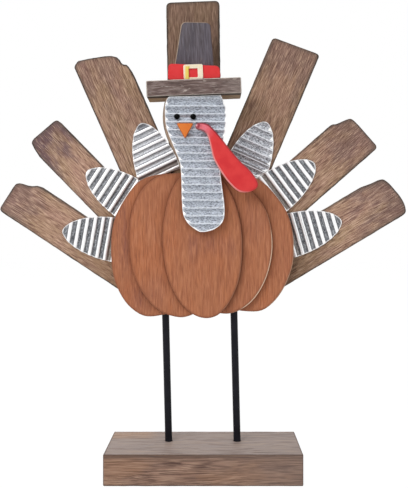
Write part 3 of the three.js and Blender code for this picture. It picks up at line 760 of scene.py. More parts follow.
def makeHatWood(name):
    look = {**hatWood, **hatLooks[name]}
    tree, shader, grain, fibre = startWood(name, look)
    color = grainLines(look, fibre, woodBody(look, fibre))
    specks = patches(scaled(grain, (2.4, 2.4, 0.7)), *look["specks"])
    color = cover(color, look["worn"], times(specks, look["flecks"]))
    wear = rimMask(grain, *look["wear"])
    color = cover(color, look["side"], wear)
    lit = times(wear, remap(normalTowards(tree, look["litSide"]), 0.1, 0.5))
    color = cover(color, look["worn"], times(lit, 0.85))
    place = axesOf(objectPlace(tree))
    below = normalTowards(tree, (0, 0, -1))
    under = remap(below, 0.75, 0.98)
    color = cover(color, look["under"], times(under, 0.8))
    # a dark line along the lower front edge of the brim: painted shadow
    lip = times(remap(below, 0.5, 0.75), remap(place["Y"], -0.0150, -0.0125, 1.0, 0.0))
    color = cover(color, look["lip"], times(lip, 0.9))
    sill = times(under, remap(place["Y"], 0.0015, 0.0035))
    color = cover(color, look["sill"], times(sill, 0.6))
    # painted shade and dirt in the corners of the hat
    color = cover(color, look["pore"], creviceMask(tree, *look["dirt"]))
    color = cover(color, look["worn"], remap(place["X"], 0.011, 0.03, 0.0, 0.1))
    finishWood(shader, color, fibre, look)


pumpkinLook = {
    "paint": (172, 111, 78), "shade": (163, 102, 72), "bright": (190, 128, 96), "orange": (180, 106, 66),
    "streak": (112, 66, 58), "band": (106, 56, 36), "bare": (240, 208, 180), "edge": (134, 80, 56),
    "dusk": (134, 86, 78), "line": (140, 84, 58), "seam": (70, 36, 24),
    "grain": {"Lines": 1350.0, "Stretch": 16.0, "Wander": 0.002}, "orangePatches": (45.0, 0.45, 0.68),
    "duskPatches": (240.0, 0.3, 0.7), "near": (0.010, 0.08, 0.62, 0.5), "gap": (0.0024, 0.18, 0.6, 0.9),
    "wear": (140.0, 0.6, 0.95, 1.2), "plainRough": 0.68, "rough": (0.58, 0.78), "relief": (0.35, 0.0003),
}


def makePumpkinPaint():
    look = pumpkinLook
    tree, shader, grain, fibre = startWood("pumpkinPaint", look)
    color = blend(fibre["Streaks"], screenColor(*look["shade"]), screenColor(*look["paint"]))
    hot = patches(scaled(grain, (1, 1, 0.3)), *look["orangePatches"])
    color = cover(color, look["orange"], times(hot, 0.4))
    dusk = attribute(tree, "dusk")
    ragged = patches(scaled(grain, (1, 1, 0.2)), *look["duskPatches"])
    color = cover(color, look["dusk"], times(dusk, lift(ragged, 0.8, 0.2)))
    color = cover(color, look["bright"], remap(fibre["Fine"], 0.55, 1.0, 0.0, 0.65), "LIGHTEN")
    color = cover(color, look["line"], remap(fibre["Fine"], 0.45, 0.0, 0.0, 0.75))
    color = cover(color, look["streak"], times(fibre["Pores"], lift(dusk, 0.75, 0.14)))
    # painted shade in a soft band beside each raised board
    color = cover(color, look["band"], creviceMask(tree, *look["near"]))
    # a painted shadow line at the foot of each raised board
    color = cover(color, look["seam"], creviceMask(tree, *look["gap"]))
    # the rounded rims painted darker: painted shade
    color = cover(color, look["edge"], times(attribute(tree, "rim"), 0.55))
    low = times(remap(normalTowards(tree, (0.85, 0, -0.5)), 0.35, 0.6), attribute(tree, "bare"))
    color = cover(color, look["bare"], times(rimMask(grain, *look["wear"]), low))
    finishWood(shader, color, fibre, look)


sheetMetal = {  # what all the sheets share
    "dim": (72, 74, 82), "shade": (58, 60, 68), "tooth": (0.95, 0.95, 0.95, 1), "edge": (0.9, 0.89, 0.89, 1),
    "flakes": (1100.0, 0.56, 0.66), "patina": (160.0, 0.35, 0.75), "plainRough": 0.42, "rough": (0.34, 0.54),
    "relief": (0.12, 0.0002),
}
sheetLooks = {
    "stripedSheet": {
        "bright": (250, 250, 251), "dark": (134, 136, 140), "deep": (52, 54, 60), "pale": (198, 200, 205),
        "bands": {"Width": 0.215, "Soft": 0.03, "Line At": 0.26, "Line Width": 0.035}, "line": 0.5,
        "lineColor": (64, 66, 72), "metal": 0.45, "warm": (154, 136, 118),
    },
    "bandedSheet": {
        "bright": (250, 250, 251), "dark": (200, 202, 206), "deep": (150, 152, 158), "pale": (226, 227, 230),
        "bands": {"Width": 0.165, "Soft": 0.03, "Line At": 0.235, "Line Width": 0.06}, "line": 0.95,
        "lineColor": (84, 86, 94), "metal": 0.35, "warm": (92, 74, 64),
    },
    "dullSheet": {
        "bright": (222, 225, 230), "dark": (212, 215, 222), "deep": (72, 74, 82), "pale": (250, 250, 252),
        "bands": {"Width": 0.06, "Soft": 0.05, "Line At": 0.36, "Line Width": 0.1}, "line": 0.2,
        "lineColor": (112, 114, 122), "metal": 0.35, "warm": (98, 88, 88),
    },
    "faceSheet": {
        "bright": (216, 221, 228), "dark": (190, 197, 208), "deep": (104, 108, 118), "pale": (218, 223, 231),
        "bands": {"Width": 0.05, "Soft": 0.045, "Line At": 0.2, "Line Width": 0.06}, "line": 0.1,
        "lineColor": (140, 145, 155), "metal": 0.3, "warm": (150, 150, 156),
    },
}


def makeSheetMetal(name):
    look = {**sheetMetal, **sheetLooks[name]}
    tree, shader = newMaterial(name, look["plainRough"], Metallic=look["metal"])
    grain = attribute(tree, "grain", "Vector")
    inward = attribute(tree, "inward")
    bands = useGroup(ridgeBands, grain, Ridge=attribute(tree, "ridge"), Inward=inward, **look["bands"],
                     **{"Tooth Length": attribute(tree, "tooth")})
    speck = bands["Speck"]
    # the speckled grey between the bands; on the striped sheets it is dark, painted shade on the flanks that
    # face away from the light
    color = blend(speck, screenColor(*look["deep"]), screenColor(*look["dark"]))
    flakes = patches(scaled(grain, (0.5, 1, 1)), *look["flakes"])
    color = cover(color, look["pale"], times(flakes, 0.6))
    # thin dark lines beside each bright band: painted shade
    color = cover(color, look["lineColor"], times(bands["Line"], look["line"]))
    # the bright band: a painted reflection on each crest, with a darker line down its middle where marked
    seam = times(bands["Middle"], attribute(tree, "split"), 0.5)
    color = cover(color, look["bright"], times(bands["Bright"], flip(seam)))
    dull = flip(times(speck, 0.35))
    color = cover(color, look["dim"], times(attribute(tree, "dim"), dull))
    # warm tint near the foot of the feathers: a painted reflection of the pumpkin
    color = cover(color, look["warm"], times(attribute(tree, "warm"), flip(bands["Bright"])))
    # bright teeth where the crests meet the cut edge: painted highlights
    color = blend(bands["Teeth"], color, look["tooth"])
    # a pale line along the cut edge: a painted highlight
    color = blend(remap(inward, 0.0004, 0.0009, 0.9, 0.0), color, look["edge"])
    scrawl = minus(1.15, times(speck, 0.6))
    color = cover(color, look["shade"], times(attribute(tree, "shade"), scrawl))
    rough = between(patches(grain, *look["patina"]), *look["rough"])
    wire(shader, color, rough, speck, *look["relief"])


nailLook = {
    "dark": (150, 150, 152), "light": (188, 188, 190), "rust": (118, 84, 62), "spots": (1400.0, 0.45, 0.65),
    "rustSpots": (500.0, 0.58, 0.7), "plainRough": 0.35, "rough": (0.28, 0.45), "relief": (0.15, 0.0001),
}


def makeNailSteel():
    look = nailLook
    tree, shader = newMaterial("nailSteel", look["plainRough"], Metallic=1.0)
    place = objectPlace(tree)
    spots = patches(place, *look["spots"])
    color = blend(spots, screenColor(*look["dark"]), screenColor(*look["light"]))
    color = cover(color, look["rust"], times(patches(place, *look["rustSpots"]), 0.5))
    wire(shader, color, between(spots, *look["rough"]), spots, *look["relief"])


rodLook = {
    "dark": (17, 17, 23), "light": (24, 24, 31), "dust": (56, 56, 62), "dustSpots": (420.0, 0.6, 0.75),
    "marks": {"Marks": 500.0, "Stretch": 1.0}, "plainRough": 0.38, "shine": 0.12, "rough": (0.34, 0.46),
    "relief": (0.12, 0.0002),
}


def makeRodPaint():
    look = rodLook
    tree, shader = newMaterial("rodPaint", look["plainRough"], look["shine"])
    place = objectPlace(tree)
    coat = useGroup(brushCoat, place, **look["marks"])
    color = blend(coat["Tone"], screenColor(*look["dark"]), screenColor(*look["light"]))
    color = cover(color, look["dust"], times(patches(place, *look["dustSpots"]), 0.25))
    wire(shader, color, between(coat["Tone"], *look["rough"]), coat["Height"], *look["relief"])


wattleLook = {
    "root": (-0.0072, -0.027, 0.3035), "pink": (234, 136, 150), "stain": (132, 40, 56), "ring": (140, 28, 48),
    "tip": (240, 206, 210), "gleam": (238, 160, 156), "under": (120, 36, 56), "crest": (136, 28, 42),
    "pinkPatches": (260.0, 0.3, 0.7), "stainPatches": (520.0, 0.5, 0.6),
}


def dressWattle(color, place, wear):  # a pink root with a white tip, both painted highlights, and a dark upper edge
    look, tree = wattleLook, color.id_data
    root = addNode("ShaderNodeVectorMath", {0: place, 1: look["root"]}, operation="DISTANCE")["Value"]
    pink = lift(patches(place, *look["pinkPatches"]), 0.5, 0.52)
    # the pink near the root: a painted highlight
    color = cover(color, look["pink"], times(remap(root, 0.005, 0.02, 1.0, 0.0), pink))
    spots = patches(place, *look["stainPatches"])
    color = cover(color, look["stain"], times(spots, remap(root, 0.004, 0.014, 0.4, 0.0)))
    ring = times(remap(root, 0.0019, 0.0029), remap(root, 0.0038, 0.005, 1.0, 0.0))
    color = cover(color, look["ring"], times(ring, 0.9))
    # the white tip: a painted highlight
    color = cover(color, look["tip"], remap(root, 0.0012, 0.0024, 0.95, 0.0))
    low = remap(normalTowards(tree, (-0.75, 0, -0.66)), 0.2, 0.7)
    color = cover(color, look["gleam"], times(wear, low, 0.75))
    color = cover(color, look["under"], times(low, remap(root, 0.009, 0.016, 0.8, 0.0)))
    high = remap(normalTowards(tree, (0.45, 0, 0.89)), 0.12, 0.42)
    return cover(color, look["crest"], times(high, remap(root, 0.018, 0.032, 0.95, 0.4)))


buckleLook = {"yellow": (230, 202, 88), "olive": (176, 150, 60), "cream": (250, 242, 204),
              "blots": (700.0, 0.35, 0.65)}


def dressBuckle(color, place, wear):  # a yellow patch on its left bar, and cream blots
    look = buckleLook
    axes = axesOf(place)
    left = times(remap(axes["X"], -0.0124, -0.0112, 1.0, 0.0),
                 remap(axes["Z"], 0.3545, 0.3560, 1.0, 0.0))
    yellow = times(left, remap(axes["X"], -0.0166, -0.0148))
    color = cover(color, look["yellow"], times(yellow, 0.95))
    olive = times(left, remap(axes["X"], -0.0133, -0.0127))
    color = cover(color, look["olive"], times(olive, 0.5))
    ring = times(flip(yellow), patches(place, *look["blots"]))
    return cover(color, look["cream"], times(ring, 0.35))


glossPaint = {"shine": 0.25, "coatRough": 0.12, "marks": {"Marks": 900.0, "Stretch": 7.0},
              "wear": (420.0, 0.5, 1.0), "relief": (0.2, 0.0002)}
glossLooks = {
    "wattlePaint": {"base": (204, 44, 48), "light": (213, 56, 56), "edge": (236, 150, 146), "rough": 0.35,
                    "coat": 0.15, "worn": 0.0, "shine": 0.2, "dress": dressWattle},
    "bucklePaint": {"base": (230, 212, 184), "light": (234, 222, 202), "edge": (252, 248, 236), "rough": 0.45,
                    "coat": 0.15, "worn": 0.95, "dress": dressBuckle},
    "beakPaint": {"base": (210, 110, 34), "light": (216, 120, 46), "edge": (168, 80, 30), "rough": 0.5,
                  "coat": 0.1, "worn": 0.85},
    "bandPaint": {"base": (210, 46, 48), "light": (215, 56, 58), "edge": (170, 38, 42), "rough": 0.55,
                  "coat": 0.05, "worn": 0.6, "shine": 0.2},
    "eyePaint": {"base": (2, 2, 3), "light": (4, 4, 5), "edge": (5, 5, 6), "rough": 0.1,
                 "coat": 0.0, "worn": 0.3, "shine": 0.04},
}


def makeGlossPaint(name):
    look = {**glossPaint, **glossLooks[name]}
    tree, shader = newMaterial(name, look["rough"], look["shine"], **{
        "Coat Weight": look["coat"], "Coat Roughness": look["coatRough"]})
    place = objectPlace(tree)
    coat = useGroup(brushCoat, place, **look["marks"])
    color = blend(coat["Tone"], screenColor(*look["base"]), screenColor(*look["light"]))
    wear = rimMask(place, *look["wear"])
    color = cover(color, look["edge"], times(wear, look["worn"]))
    if "dress" in look:
        color = look["dress"](color, place, wear)
    rough = between(coat["Tone"], look["rough"] * 0.9, look["rough"] * 1.15)
    wire(shader, color, rough, coat["Height"], *look["relief"])


for make in (makeBoardWood, makeBaseWood, makeHeadWood, makePumpkinPaint, makeNailSteel, makeRodPaint):
    make()
for make, looks in ((makeHatWood, hatLooks), (makeGlossPaint, glossLooks), (makeSheetMetal, sheetLooks)):
    for name in looks:
        make(name)
print("materials ready")

baseSettings = {"rim": 0.0011, "rimSteps": 3, "longEdge": 0.02, "ring": 0.0012, "largeFace": 0.0001,
                "slice": 0.006, "dent": 0.00012, "dentSeed": 5, "grainSeed": 1}
rodSettings = {
    "radius": 0.003175, "sides": 40, "foot": (-0.0008, 0.0053, 0.0266), "lean": -1.4, "spread": 0.0305,
    "low": -0.018, "high": 0.1324, "rim": 0.0004, "slice": 0.006, "spare": 0.001, "dent": 0.00003,
    "dentSeed": 11,
}


def makeBase():
    piece = copyNode("base_block", "baseBlock")
    mesh = piece.data
    normals = faceNormals(mesh)

    def isOuter(edge):
        near = normals.get(edge.key, [])
        sharp = len(near) == 2 and near[0].angle(near[1]) > math.radians(60)
        return sharp and edgeLength(mesh, edge) > baseSettings["longEdge"]

    pick(piece, "EDGE", isOuter)
    bevelPicked(baseSettings["rim"], baseSettings["rimSteps"])
    insetSides(piece, baseSettings["ring"], baseSettings["largeFace"], Matrix.Identity(4))
    low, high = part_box("base_block")
    slicePiece(piece, Vector((low.x, 0, 0)), rightward,
               stepsFrom(0, high.x - low.x - baseSettings["slice"] / 2, baseSettings["slice"]))
    onRim = blockRim((high + low) / 2, high - low, baseSettings["rim"], Matrix.Identity(4))
    roughen(piece, baseSettings["dent"], baseSettings["dentSeed"], onRim)
    markGrain(piece, (0, 0, 0), rightward, baseSettings["grainSeed"])
    writeFloats(piece, "rim", [1.0 if onRim(vertex) else 0.0 for vertex in mesh.vertices])
    finishPiece(piece, "base_wood", "baseWood", "base_block")


def makeRods():
    length, spare = rodSettings["high"] - rodSettings["low"], rodSettings["spare"]
    middle = (rodSettings["high"] + rodSettings["low"]) / 2
    lean = math.radians(rodSettings["lean"])
    turn = Matrix.Rotation(lean, 4, "Y")
    for node, name, side in (("leg_left", "rodLeft", -1), ("leg_right", "rodRight", 1)):
        place = Vector(rodSettings["foot"]) + turn @ Vector((rodSettings["spread"] * side, 0, middle))
        deselectAll()
        bpy.ops.mesh.primitive_cylinder_add(
            vertices=rodSettings["sides"], radius=rodSettings["radius"], depth=length,
            location=place, rotation=(0, lean, 0))
        piece = settle(freshPiece(name))
        axis = turn @ upward
        caps = faceNormals(piece.data)
        pick(piece, "EDGE", lambda edge: any(abs(normal.dot(axis)) > 0.9 for normal in caps[edge.key]))
        bevelPicked(rodSettings["rim"], 2)
        slicePiece(piece, place - axis * length / 2, axis,
                   stepsFrom(spare, length - spare, rodSettings["slice"]))
        roughen(piece, rodSettings["dent"], rodSettings["dentSeed"] + side, lambda vertex: True)
        finishPiece(piece, "rod_paint", "rodPaint", node, angle=50)


makeBase()
makeRods()
print("base and rods ready")

pumpkinBoards = {
    "pumpkin_back": {"name": "pumpkinBack", "rim": 0.0018, "seed": 2, "bare": 0.3, "dusk": [
        (-0.070, 0.205, 0.008, 0.050, 0.8), (-0.055, 0.155, 0.014, 0.022, 0.7),
        (0.070, 0.190, 0.008, 0.04, 0.2)]},
    "pumpkin_middle": {"name": "pumpkinMiddle", "rim": 0.0019, "seed": 5, "bare": 0.9, "dusk": [
        (-0.045, 0.160, 0.018, 0.020, 0.4), (0.045, 0.225, 0.014, 0.028, 0.35)]},
    "pumpkin_front": {"name": "pumpkinFront", "rim": 0.0019, "seed": 9, "bare": 0.08, "dusk": [
        (-0.009, 0.199, 0.007, 0.016, 1.0), (0.024, 0.199, 0.006, 0.014, 0.7),
        (0.004, 0.203, 0.026, 0.012, 0.6)]},
}
pumpkinSettings = {"rimSteps": 4, "rearRim": 0.0005, "shortest": 0.001, "ring": 0.0016, "slice": 0.004,
                   "margin": 0.002, "bareLow": 0.145, "bareHigh": 0.215, "bareFade": 0.012, "leastBare": 0.2}


def markDusk(piece, spots):  # smoky stain: each spot has a place, half sizes and a strength
    values = []
    for vertex in piece.data.vertices:
        total = 0.0
        for x, z, wide, high, strength in spots:
            away = math.hypot((vertex.co.x - x) / wide, (vertex.co.z - z) / high)
            total = max(total, strength * max(0.0, 1 - away))
        values.append(total)
    writeFloats(piece, "dusk", values)


def markBare(piece, amount):  # where the rim may show bare wood
    low, high, fade = (pumpkinSettings[name] for name in ("bareLow", "bareHigh", "bareFade"))
    least = pumpkinSettings["leastBare"]
    levels = [(vertex.co.z - low) / fade * (high - vertex.co.z) / fade for vertex in piece.data.vertices]
    writeFloats(piece, "bare", [amount * min(max(level, least), 1) for level in levels])


def makePumpkin():
    for node, settings in pumpkinBoards.items():
        piece = copyNode(node, settings["name"])
        roundRim(piece, front, settings["rim"], pumpkinSettings["rimSteps"], pumpkinSettings["shortest"])
        roundRim(piece, -front, pumpkinSettings["rearRim"], 1, pumpkinSettings["shortest"])
        insetFlat(piece, front, pumpkinSettings["ring"])
        low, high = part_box(node)
        size = high - low - Vector((1, 1, 1)) * pumpkinSettings["margin"]
        slicePiece(piece, Vector((low.x, 0, 0)), rightward, stepsFrom(0, size.x, pumpkinSettings["slice"]))
        slicePiece(piece, Vector((0, 0, low.z)), upward, stepsFrom(0, size.z, pumpkinSettings["slice"]))
        markGrain(piece, (0, 0, 0), upward, settings["seed"])
        markDusk(piece, settings["dusk"])
        markBare(piece, settings["bare"])
        markRim(piece)
        finishPiece(piece, "pumpkin_paint", "pumpkinPaint", node)


makePumpkin()
print("pumpkin ready")

fanHub = Vector((-0.0068, 0, 0.160))
tailBoards = {  # tones at the foot, the middle and the tip, how smoky the tip is and how brown the board
    "tail_lower_left": {"bearing": 146.5, "reach": 0.1893, "tones": (0.98, 1.17, 1.04), "smoke": 0.5,
                        "brown": 0},
    "tail_middle_left": {"bearing": 134.4, "reach": 0.2011, "tones": (0.90, 1.23, 0.93), "smoke": 1,
                         "brown": 0},
    "tail_upper_left": {"bearing": 113.5, "reach": 0.2344, "tones": (1.12, 0.96, 0.985), "smoke": 0.4,
                        "brown": 0.3, "trim": (-0.853, 0.522, 0.2888)},
    "tail_center": {"bearing": 91, "reach": 0.2612, "tones": (0.85, 0.74, 0.62), "smoke": 0.15, "brown": 0.6},
    "tail_upper_right": {"bearing": 67, "reach": 0.2397, "tones": (1.11, 0.875, 0.91), "smoke": 0.5,
                         "brown": 0.75},
    "tail_middle_right": {"bearing": 41.3, "reach": 0.2087, "tones": (0.75, 1.04, 0.92), "smoke": 0.5,
                          "brown": 0.3},
    "tail_lower_right": {"bearing": 31, "reach": 0.2017, "tones": (0.71, 1.16, 0.965), "smoke": 0.6,
                         "brown": 0},
}
boardSettings = {
    "trimRound": 0.002, "frontRim": 0.0012, "rearRim": 0.0007, "ring": 0.0014, "sliceFrom": 0.045,
    "slice": 0.0045, "dent": 0.00022, "dentSeed": 20, "grainSeed": 3, "tipFrom": 0.07, "hole": 0.0011,
    "flatDepth": 0.0002, "drillSpare": 0.001,
}
nailSettings = {
    "headRadius": 0.0016, "headHeight": 0.0011, "shankRadius": 0.0008, "shankLength": 0.0155,
    "pointLength": 0.0015, "sides": 18, "dome": ((0.18, 0.2), (0.3, 0.2), (0.34, 0.15)),
}


def outwards(bearing):
    angle = math.radians(bearing)
    return Vector((math.cos(angle), 0, math.sin(angle)))


def pieceName(node):
    first, *rest = node.split("_")
    return first + "".join(word.capitalize() for word in rest)


def toneAt(tip, tones):  # between three tones, from the foot of a board to its tip
    foot, middle, end = tones
    if tip < 0.6:
        return foot + (middle - foot) * min(max((tip - 0.2) / 0.35, 0.0), 1.0)
    return middle + (end - middle) * min((tip - 0.6) / 0.3, 1.0)


def makeTailBoards():
    for seed, (node, settings) in enumerate(tailBoards.items()):
        axis = outwards(settings["bearing"])
        low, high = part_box(node)
        nails = [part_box(f"{node}_nail_{number}") for number in (1, 2)]
        holes = [((first.x + last.x) / 2, (first.z + last.z) / 2) for first, last in nails]
        piece = copyNode(node, pieceName(node))
        closeHoles(piece, holes, boardSettings["hole"] * 1.1)
        if "trim" in settings:
            trimCorner(piece, boardSettings["trimRound"], *settings["trim"])
        roundRim(piece, front, boardSettings["frontRim"], 3)
        roundRim(piece, -front, boardSettings["rearRim"], 2)
        insetFlat(piece, front, boardSettings["ring"])
        slicePiece(piece, fanHub, axis,
                   stepsFrom(boardSettings["sliceFrom"], settings["reach"], boardSettings["slice"]))
        markRim(piece)
        rims = [item.value for item in piece.data.attributes["rim"].data]
        rear, face = low.y + boardSettings["flatDepth"], high.y - boardSettings["flatDepth"]
        roughen(piece, boardSettings["dent"], boardSettings["dentSeed"] + seed,
                lambda vertex: rims[vertex.index] > 0.3 and rear < vertex.co.y < face)
        spare = boardSettings["drillSpare"]
        cutHoles(piece, holes, boardSettings["hole"], low.y - spare, high.y + spare)
        piece.data.attributes.remove(piece.data.attributes["rim"])
        markRim(piece)
        markGrain(piece, fanHub, axis, boardSettings["grainSeed"] + seed,
                  (boardSettings["tipFrom"], settings["reach"]))
        tips = [item.value for item in piece.data.attributes["tip"].data]
        writeFloats(piece, "tone", [toneAt(tip, settings["tones"]) for tip in tips])
        for name in ("smoke", "brown"):
            writeFloats(piece, name, [settings[name]] * len(tips))
        finishPiece(piece, "board_wood", "boardWood", node)


def makeNail():  # the first nail: a domed head on a pointed shank, its seat at the origin
    deselectAll()
    height = nailSettings["headHeight"]
    bpy.ops.mesh.primitive_cylinder_add(
        vertices=nailSettings["sides"], radius=nailSettings["headRadius"], depth=height * 0.45,
        location=(0, height * 0.225, 0), rotation=(math.radians(-90), 0, 0))
    piece = settle(freshPiece("nail"))
    pick(piece, "FACE", lambda face: face.normal.y > 0.9)
    for inset, rise in nailSettings["dome"]:
        bpy.ops.mesh.inset(thickness=nailSettings["headRadius"] * inset * 0.8, depth=height * rise)
    endEdit()
    pick(piece, "FACE", lambda face: face.normal.y < -0.9)
    bpy.ops.mesh.inset(thickness=nailSettings["headRadius"] - nailSettings["shankRadius"], depth=0)
    for name in ("shankLength", "pointLength"):
        bpy.ops.mesh.extrude_region_move(TRANSFORM_OT_translate={"value": (0, -nailSettings[name], 0)})
    tip = Vector((0, -nailSettings["shankLength"] - nailSettings["pointLength"], 0))
    bpy.ops.transform.resize(value=(0.1, 1, 0.1), center_override=tip)
    endEdit()
    return piece


def makeNails():
    first = makeNail()
    for node in sorted(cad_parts):
        if "_nail_" not in node:
            continue
        low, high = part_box(node)
        piece = bpy.data.objects.new(pieceName(node), first.data.copy())
        scene.collection.objects.link(piece)
        piece.location = ((low.x + high.x) / 2, high.y - nailSettings["headHeight"], (low.z + high.z) / 2)
        settle(piece)
        finishPiece(piece, "nail_steel", "nailSteel", node, angle=45)
    bpy.data.objects.remove(first)


makeTailBoards()
makeNails()
print("tail boards ready")

sheetSettings = {"thickness": 0.0004, "swing": 0.0009, "rows": 16, "column": 0.0018, "spare": 0.002,
                 "cadSteps": 8, "merge": 0.00004, "bandFade": 0.12}
# the warm marks near the foot of each feather paint a reflection of the pumpkin
feathers = {  # marks: bands of turns of the ridges, each with its strength, and the teeth on both edges
    "feather_lower_left": {
        "bearing": 155.8, "reach": 0.131835, "heading": 170, "shift": 0.22, "look": "stripedSheet",
        "marks": {"warm": [(-1, 0.9, 0.45)]}},
    "feather_middle_left": {
        "bearing": 132.6, "reach": 0.145433, "heading": 147, "shift": 0.0, "look": "stripedSheet",
        "marks": {"warm": [(-1, 1.3, 0.4)]}},
    "feather_upper_left": {
        "bearing": 108.3, "reach": 0.158495, "heading": 110, "shift": 0.1, "look": "bandedSheet",
        "marks": {"turn": 5.5, "dim": [(6.2, 8, 0.8), (5.3, 5.7, 0.3)], "warm": [(-1, 0.75, 0.8)]}},
    "feather_upper_right": {
        "bearing": 67.4, "reach": 0.164128, "heading": 66, "shift": 0.1, "look": "dullSheet",
        "marks": {"teeth": (0.0011, 0.0036), "warm": [(1.85, 2.3, 0.8), (0.85, 1.25, 0.9), (-1, 0.3, 0.8)]}},
    "feather_middle_right": {
        "bearing": 47.3, "reach": 0.156524, "heading": 37, "shift": 0.45, "look": "stripedSheet",
        "marks": {"warm": [(-1, 0.9, 0.35)], "split": [(0.2, 0.9, 0.8)]}},
    "feather_lower_right": {
        "bearing": 25.7, "reach": 0.144874, "heading": 16, "shift": 0.22, "look": "stripedSheet",
        "marks": {"warm": [(-1, 0.6, 0.3)], "split": [(-1, 2.5, 1.0), (4.6, 5.4, 0.4)]}},
}
featherSettings = {"length": 0.050, "width": 0.040, "pitch": 0.007, "rear": 0.0110, "start": 0.0}
faceSettings = {
    "foot": Vector((-0.0068, 0, 0.213)), "length": 0.117692, "width": 0.0545, "pitch": 0.0067,
    "rear": -0.0190, "start": 0.0004, "seed": 9,
    "marks": {"teeth": (0.0029, 0.0014), "shade": [(14.6, 17.1, 0.14), (16.85, 18.5, 0.5)]},
}


def waveAt(up, pitch, start):  # how far forward the rear of a sheet is
    return sheetSettings["swing"] * (1 + math.cos((up - start) / pitch * math.tau))


def cadWaveAt(up, length, pitch, start):  # the same as the CAD sheet's straight steps
    count = math.ceil(round(length / pitch * sheetSettings["cadSteps"], 6))
    place = min(max(up / length * count, 0), count)
    index = min(int(place), count - 1)
    lower = waveAt(length * index / count, pitch, start)
    upper = waveAt(length * (index + 1) / count, pitch, start)
    return lower + (upper - lower) * (place - index)


def bandAt(turn, bands):  # the strength of the bands that hold this turn of the ridges, soft at their ends
    total = 0.0
    for first, last, strength in bands:
        inside = min(turn - first, last - turn) / sheetSettings["bandFade"] + 0.5
        total = max(total, strength * min(max(inside, 0.0), 1.0))
    return total


def rimDistances(mesh, levels):  # how far inside the outline each vertex of a sheet lies
    walls = [face for face in mesh.polygons if len({levels[index] for index in face.vertices}) > 1]
    rimIndices = {index for face in walls for index in face.vertices}
    finder = kdtree.KDTree(len(rimIndices))
    for index in rimIndices:
        place = mesh.vertices[index].co
        finder.insert((place.x, 0, place.z), index)
    finder.balance()
    return [finder.find((vertex.co.x, 0, vertex.co.z))[2] for vertex in mesh.vertices]


def refineSheet(node, name, foot, axis, sizes, shift, marks, seed):  # finer, smooth ridges on the CAD outline
    piece = copyNode(node, name, 0.02)
    ridgeAxis = Matrix.Rotation(-math.radians(marks.get("turn", 0)), 3, "Y") @ axis
    side = ridgeAxis.cross(front).normalized()
    pitch, start = sizes["pitch"], sizes["start"]
    phase = start + shift * pitch
    row = pitch / sheetSettings["rows"]
    slicePiece(piece, foot, ridgeAxis,
               stepsFrom((phase % row) - row, sizes["length"] + sheetSettings["spare"], row))
    slicePiece(piece, foot, side, stepsFrom(-sizes["width"] / 2, sizes["width"] / 2, sheetSettings["column"]))
    startEdit(piece)
    bpy.ops.mesh.remove_doubles(threshold=sheetSettings["merge"])
    endEdit()
    mesh = piece.data
    ridges, levels = [], []
    for vertex in mesh.vertices:
        up = (vertex.co - foot).dot(axis)
        level = round((sizes["rear"] - vertex.co.y - cadWaveAt(up, sizes["length"], pitch, start))
                      / sheetSettings["thickness"])
        levels.append(min(max(level, 0), 1))
        along = (vertex.co - foot).dot(ridgeAxis)
        vertex.co.y = sizes["rear"] - waveAt(along, pitch, phase) - levels[-1] * sheetSettings["thickness"]
        ridges.append((along - phase) / pitch)
    mesh.update()
    writeFloats(piece, "ridge", ridges)
    writeFloats(piece, "inward", rimDistances(mesh, levels))
    left, right = marks.get("teeth", (0, 0))
    onRight = [(vertex.co - foot).dot(side) > 0 for vertex in mesh.vertices]
    writeFloats(piece, "tooth", [right if value else left for value in onRight])
    for name in ("dim", "warm", "split", "shade"):
        writeFloats(piece, name, [bandAt(turn, marks.get(name, [])) for turn in ridges])
    markGrain(piece, foot, ridgeAxis, seed)
    return piece


def makeFeathers():
    for seed, (node, settings) in enumerate(feathers.items()):
        heading = outwards(settings["heading"])
        tip = fanHub + outwards(settings["bearing"]) * settings["reach"]
        foot = tip - heading * featherSettings["length"]
        piece = refineSheet(node, pieceName(node), foot, heading, featherSettings, settings["shift"],
                            settings["marks"], seed)
        finishPiece(piece, "galvanized_sheet", settings["look"], node, angle=50, even=False)


def makeFaceSheet():
    piece = refineSheet("head_metal", "faceSheet", faceSettings["foot"], upward, faceSettings, 0,
                        faceSettings["marks"], faceSettings["seed"])
    finishPiece(piece, "galvanized_sheet", "faceSheet", "head_metal", angle=50, even=False)


makeFeathers()
makeFaceSheet()
print("corrugated sheets ready")

headSettings = {
    "rim": 0.0009, "shortest": 0.0005, "grainSeed": 12, "eyeRadius": 0.0025, "eyeHeight": 0.0015,
    "eyeSides": 36, "eyeRings": 20, "beakRim": 0.0006, "wattleRim": 0.0021, "wattleRearRim": 0.0012,
}


def makeHeadBoard():
    piece = copyNode("head_board", "headBoard")
    for side in (front, -front):
        roundRim(piece, side, headSettings["rim"], 3, headSettings["shortest"])
    markGrain(piece, (0, 0, 0), upward, headSettings["grainSeed"])
    markRim(piece)
    finishPiece(piece, "head_wood", "headWood", "head_board")


def makeEyes():
    for node, name in (("eye_left", "eyeLeft"), ("eye_right", "eyeRight")):
        low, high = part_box(node)
        seat = Vector(((low.x + high.x) / 2, high.y, (low.z + high.z) / 2))
        deselectAll()
        bpy.ops.mesh.primitive_uv_sphere_add(
            segments=headSettings["eyeSides"], ring_count=headSettings["eyeRings"],
            radius=headSettings["eyeRadius"], location=seat, rotation=(math.radians(90), 0, 0))
        piece = settle(freshPiece(name))
        startEdit(piece)
        bpy.ops.mesh.bisect(plane_co=seat, plane_no=-front, use_fill=True, clear_outer=True)
        bpy.ops.mesh.select_all(action="SELECT")
        flatter = headSettings["eyeHeight"] / headSettings["eyeRadius"]
        bpy.ops.transform.resize(value=(1, flatter, 1), center_override=seat)
        endEdit()
        writeFloats(piece, "rim", [0.0] * len(piece.data.vertices))
        finishPiece(piece, "eye_paint", "eyePaint", node, angle=60, even=False)


